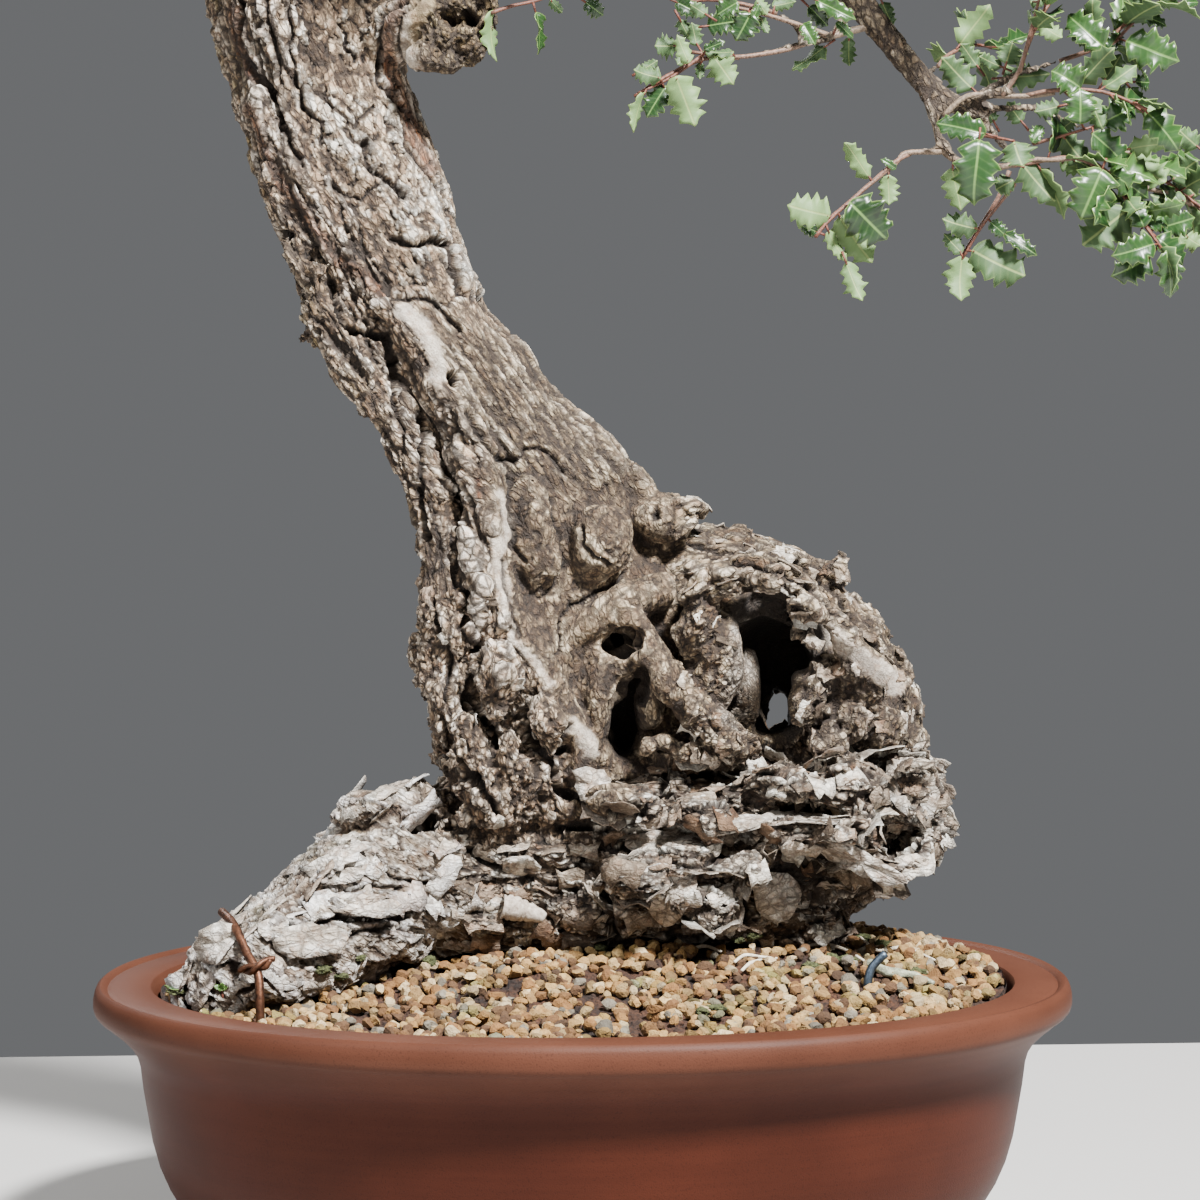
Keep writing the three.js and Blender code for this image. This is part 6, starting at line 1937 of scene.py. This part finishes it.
# Twigs in front of the camera: pixels of their course, and depth, radius and age at both ends
handTwigs = [
    ([(919, 78), (935, 122), (941, 147), (953, 159)], (-12, -18), (2.6, 2.1), (1, 0.9)),
    ([(941, 152), (906, 153), (896, 163), (864, 189), (849, 203), (830, 218), (816, 237)],
     (-20, -34), (1.7, 0.9), (0.9, 0)),
    ([(943, 116), (968, 96), (1002, 96), (1031, 96), (1055, 93)], (-18, -24), (1.9, 1.3), (1, 0.9)),
    ([(1002, 96), (1019, 71), (1029, 37), (1037, 8), (1042, -14)], (-22, -26), (1.5, 0.8), (0.6, 0.1)),
    ([(960, 134), (986, 136), (1014, 141)], (-20, -32), (1.3, 0.8), (0.2, 0)),
    ([(953, 159), (993, 168), (1030, 160), (1053, 160), (1076, 158)], (-20, -28), (1.9, 1.3), (0.9, 0.7)),
    ([(1015, 184), (996, 208), (980, 229), (963, 258)], (-14, -10), (1.2, 0.8), (0.4, 0)),
    ([(1033, 144), (1062, 136), (1092, 127)], (-20, -28), (1.2, 0.7), (0.3, 0)),
    ([(1076, 158), (1096, 164), (1115, 180), (1128, 204), (1145, 226), (1163, 250)],
     (-28, -36), (1.3, 0.8), (0.4, 0)),
    ([(1080, 76), (1109, 49), (1126, 30), (1139, 16), (1150, -6)], (-12, -18), (1.3, 0.8), (0.4, 0)),
    ([(870, 26), (840, 34), (810, 42), (780, 51), (735, 57), (692, 52)], (-8, -22), (2.4, 1.0), (1, 0.3)),
    ([(703, 55), (670, 78), (638, 93)], (-22, -28), (1.1, 0.7), (0.2, 0)),
    ([(830, 36), (790, 22), (756, 12), (728, 6)], (-10, -20), (1.8, 0.9), (0.9, 0.3)),
    ([(491, 13), (512, 6), (539, 0), (556, -8)], (2, 8), (1.2, 0.8), (0.2, 0)),
    ([(1076, 158), (1130, 152), (1156, 128)], (-20, -14), (1.3, 1.0), (0.8, 0.9)),
    ([(1146, 188), (1176, 196), (1206, 214)], (-8, 0), (1.6, 1.2), (0.8, 0.7)),
]
# Each look's side and tone; the low tone of d is painted shade
looks = {"g": (1, 0.42), "d": (1, 0.12), "p": (-1, 0.75), "m": (-1, 0.3)}


def reachOf(point, path):
    best = 1e9
    for a, b in zip(path[:-1], path[1:]):
        way = b - a
        t = np.clip(np.dot(point - a, way) / np.dot(way, way), 0, 1)
        best = min(best, np.linalg.norm(point - a - t * way))
    return best


def makeHangingSprays():
    names = [n for n in shoots if int(n[-2:]) > 26]
    bunches = {n: newBunch() for n in names}
    courses = {n: smoothPath(shoots[n]) for n in names}
    twigs = []
    for name in names:
        growTwig(bunches[name], courses[name], [1.1, 0.7], [0.5, 0.0])
        twigs.append(courses[name])
        if name in foliage["dense"]:
            leafAlong(bunches[name], courses[name], np.random.default_rng(int(name[-2:])), 0.25, 4.6)
    for pixels, depths, radii, age in handTwigs:
        shares = np.linspace(0, 1, len(pixels))
        path = smoothPath([fromPixel(px, row, np.interp(share, [0, 1], depths))
                           for (px, row), share in zip(pixels, shares)])
        owner = min(names, key=lambda n: reachOf(path[len(path) // 2], courses[n]))
        growTwig(bunches[owner], path, [0.72 * radius for radius in radii], age, 7)
        twigs.append(path)
    rng = np.random.default_rng(9)
    for baseX, baseY, tipX, tipY, width, look, depth in handLeaves:
        base = fromPixel(baseX, baseY, depth)
        away = rng.uniform(-0.3, 0.3)
        tip = fromPixel(tipX, tipY, depth)
        length = np.linalg.norm(tip - base)
        tip = tip + ahead * away * length
        length = max(np.linalg.norm(tip - base), 8)
        shown = width * 0.43 / 0.92
        real = max(shown, 0.42 * length)
        way = unit(tip - base)
        side, tone = looks[look]
        toward = -ahead * side
        roll = math.acos(min(1, shown / real)) * rng.choice([-1, 1])
        face = math.cos(roll) * toward + math.sin(roll) * np.cross(way, toward)
        owner = min(names, key=lambda n: reachOf(base, courses[n]))
        growLeaf(bunches[owner], base, way, face, length, real, tone + rng.uniform(-0.06, 0.1), rng, True,
                 rng.uniform(0.2, 0.9))
        near = min(twigs, key=lambda path: reachOf(base, path))
        joint = near[np.argmin(np.linalg.norm(near - base, axis=1))]
        if np.linalg.norm(joint - base) > 9:
            joint = base - way * 5
        growTwig(bunches[owner], [joint, base + way * 1.2], [0.6, 0.45], [0, 0], 4)
    for name in names:
        finishBunch(name + "_leaves", bunches[name], (leafMaterial, twigMaterial), "oak_foliage", [name])


# A fallen leaf and a sprout at the pot's left end
def makeGreens():
    rng = np.random.default_rng(14)
    bunch = newBunch()
    base, tip = (seenOn(groundTrees, *at, 2.5) for at in litter["leaf"])
    growLeaf(bunch, base, unit(tip - base), np.array([0.1, -0.9, 0.5]), 17, 9.5, 0.35, rng, True, 0.25)
    buried, seat = (seenOn(groundTrees, *litter["sprout"], lift) for lift in (-1.0, 1.5))
    stem = smoothPath([buried] + [seat + [dx, 0, dz] for dx, dz in ((0.4, 3), (0, 6))])
    growTwig(bunch, stem, [0.7, 0.5], [0, 0], 5)
    for way in ([-0.8, -0.3, 0.5], [0.7, -0.4, 0.6], [0.1, -0.5, 0.9]):
        growLeaf(bunch, stem[-1], unit(way), np.array([0, -0.8, 0.6]), 4.0, 2.6, 1.0, rng, True, 0.3)
    finishBunch("ground_greens", bunch, (leafMaterial, twigMaterial), "oak_foliage", [])


leafMaterial = makeLeafMaterial()
twigMaterial = makeTwigMaterial()
makeGreens()
for index, name in enumerate(shoots):
    if int(name[-2:]) <= 26:
        makeCrownSpray(name, shoots[name], 100 + index)
makeHangingSprays()
print("leaves grown")


# Studio: pale floor and backdrop, a large key from the right, a softer fill from the left
def makeStage():
    bpy.ops.mesh.primitive_plane_add(size=2, location=(0, 0, 0))
    floor = bpy.context.active_object
    floor.name = "studio_floor"
    corners = placesOf(floor)
    depths = np.where(corners[:, 1] > 0, 0.41, -2.2)
    setPlaces(floor, np.stack([2 * corners[:, 0], depths, 0 * corners[:, 2]], 1))
    paper = {"Roughness": 0.9, "Base Color": linear("#B6B4B1")}
    floor.data.materials.append(newMaterial("paperSweep", paper)[0])
    world = bpy.data.worlds.new("studio")
    bpy.context.scene.world = world
    world.use_nodes = True
    world.node_tree.nodes["Background"].inputs["Color"].default_value = linear("#B9BBBE")
    world.node_tree.nodes["Background"].inputs["Strength"].default_value = 0.31


def addLight(name, place, target, size, power):
    data = bpy.data.lights.new(name, "AREA")
    data.size = size
    data.energy = power
    light = bpy.data.objects.new(name, data)
    light.location = place
    light.rotation_euler = (Vector(target) - Vector(place)).to_track_quat("-Z", "Y").to_euler()
    bpy.context.scene.collection.objects.link(light)


makeStage()
addLight("keyLight", (0.8, -1.4, 2.1), (0, 0, 0.3), 0.28, 316)
addLight("fillLight", (-1.5, -1.2, 1.6), (0, 0, 0.3), 0.6, 24)
addLight("backLight", (-0.9, 1.5, 1.6), (0, 0, 0.4), 0.7, 28)
print("studio lit")
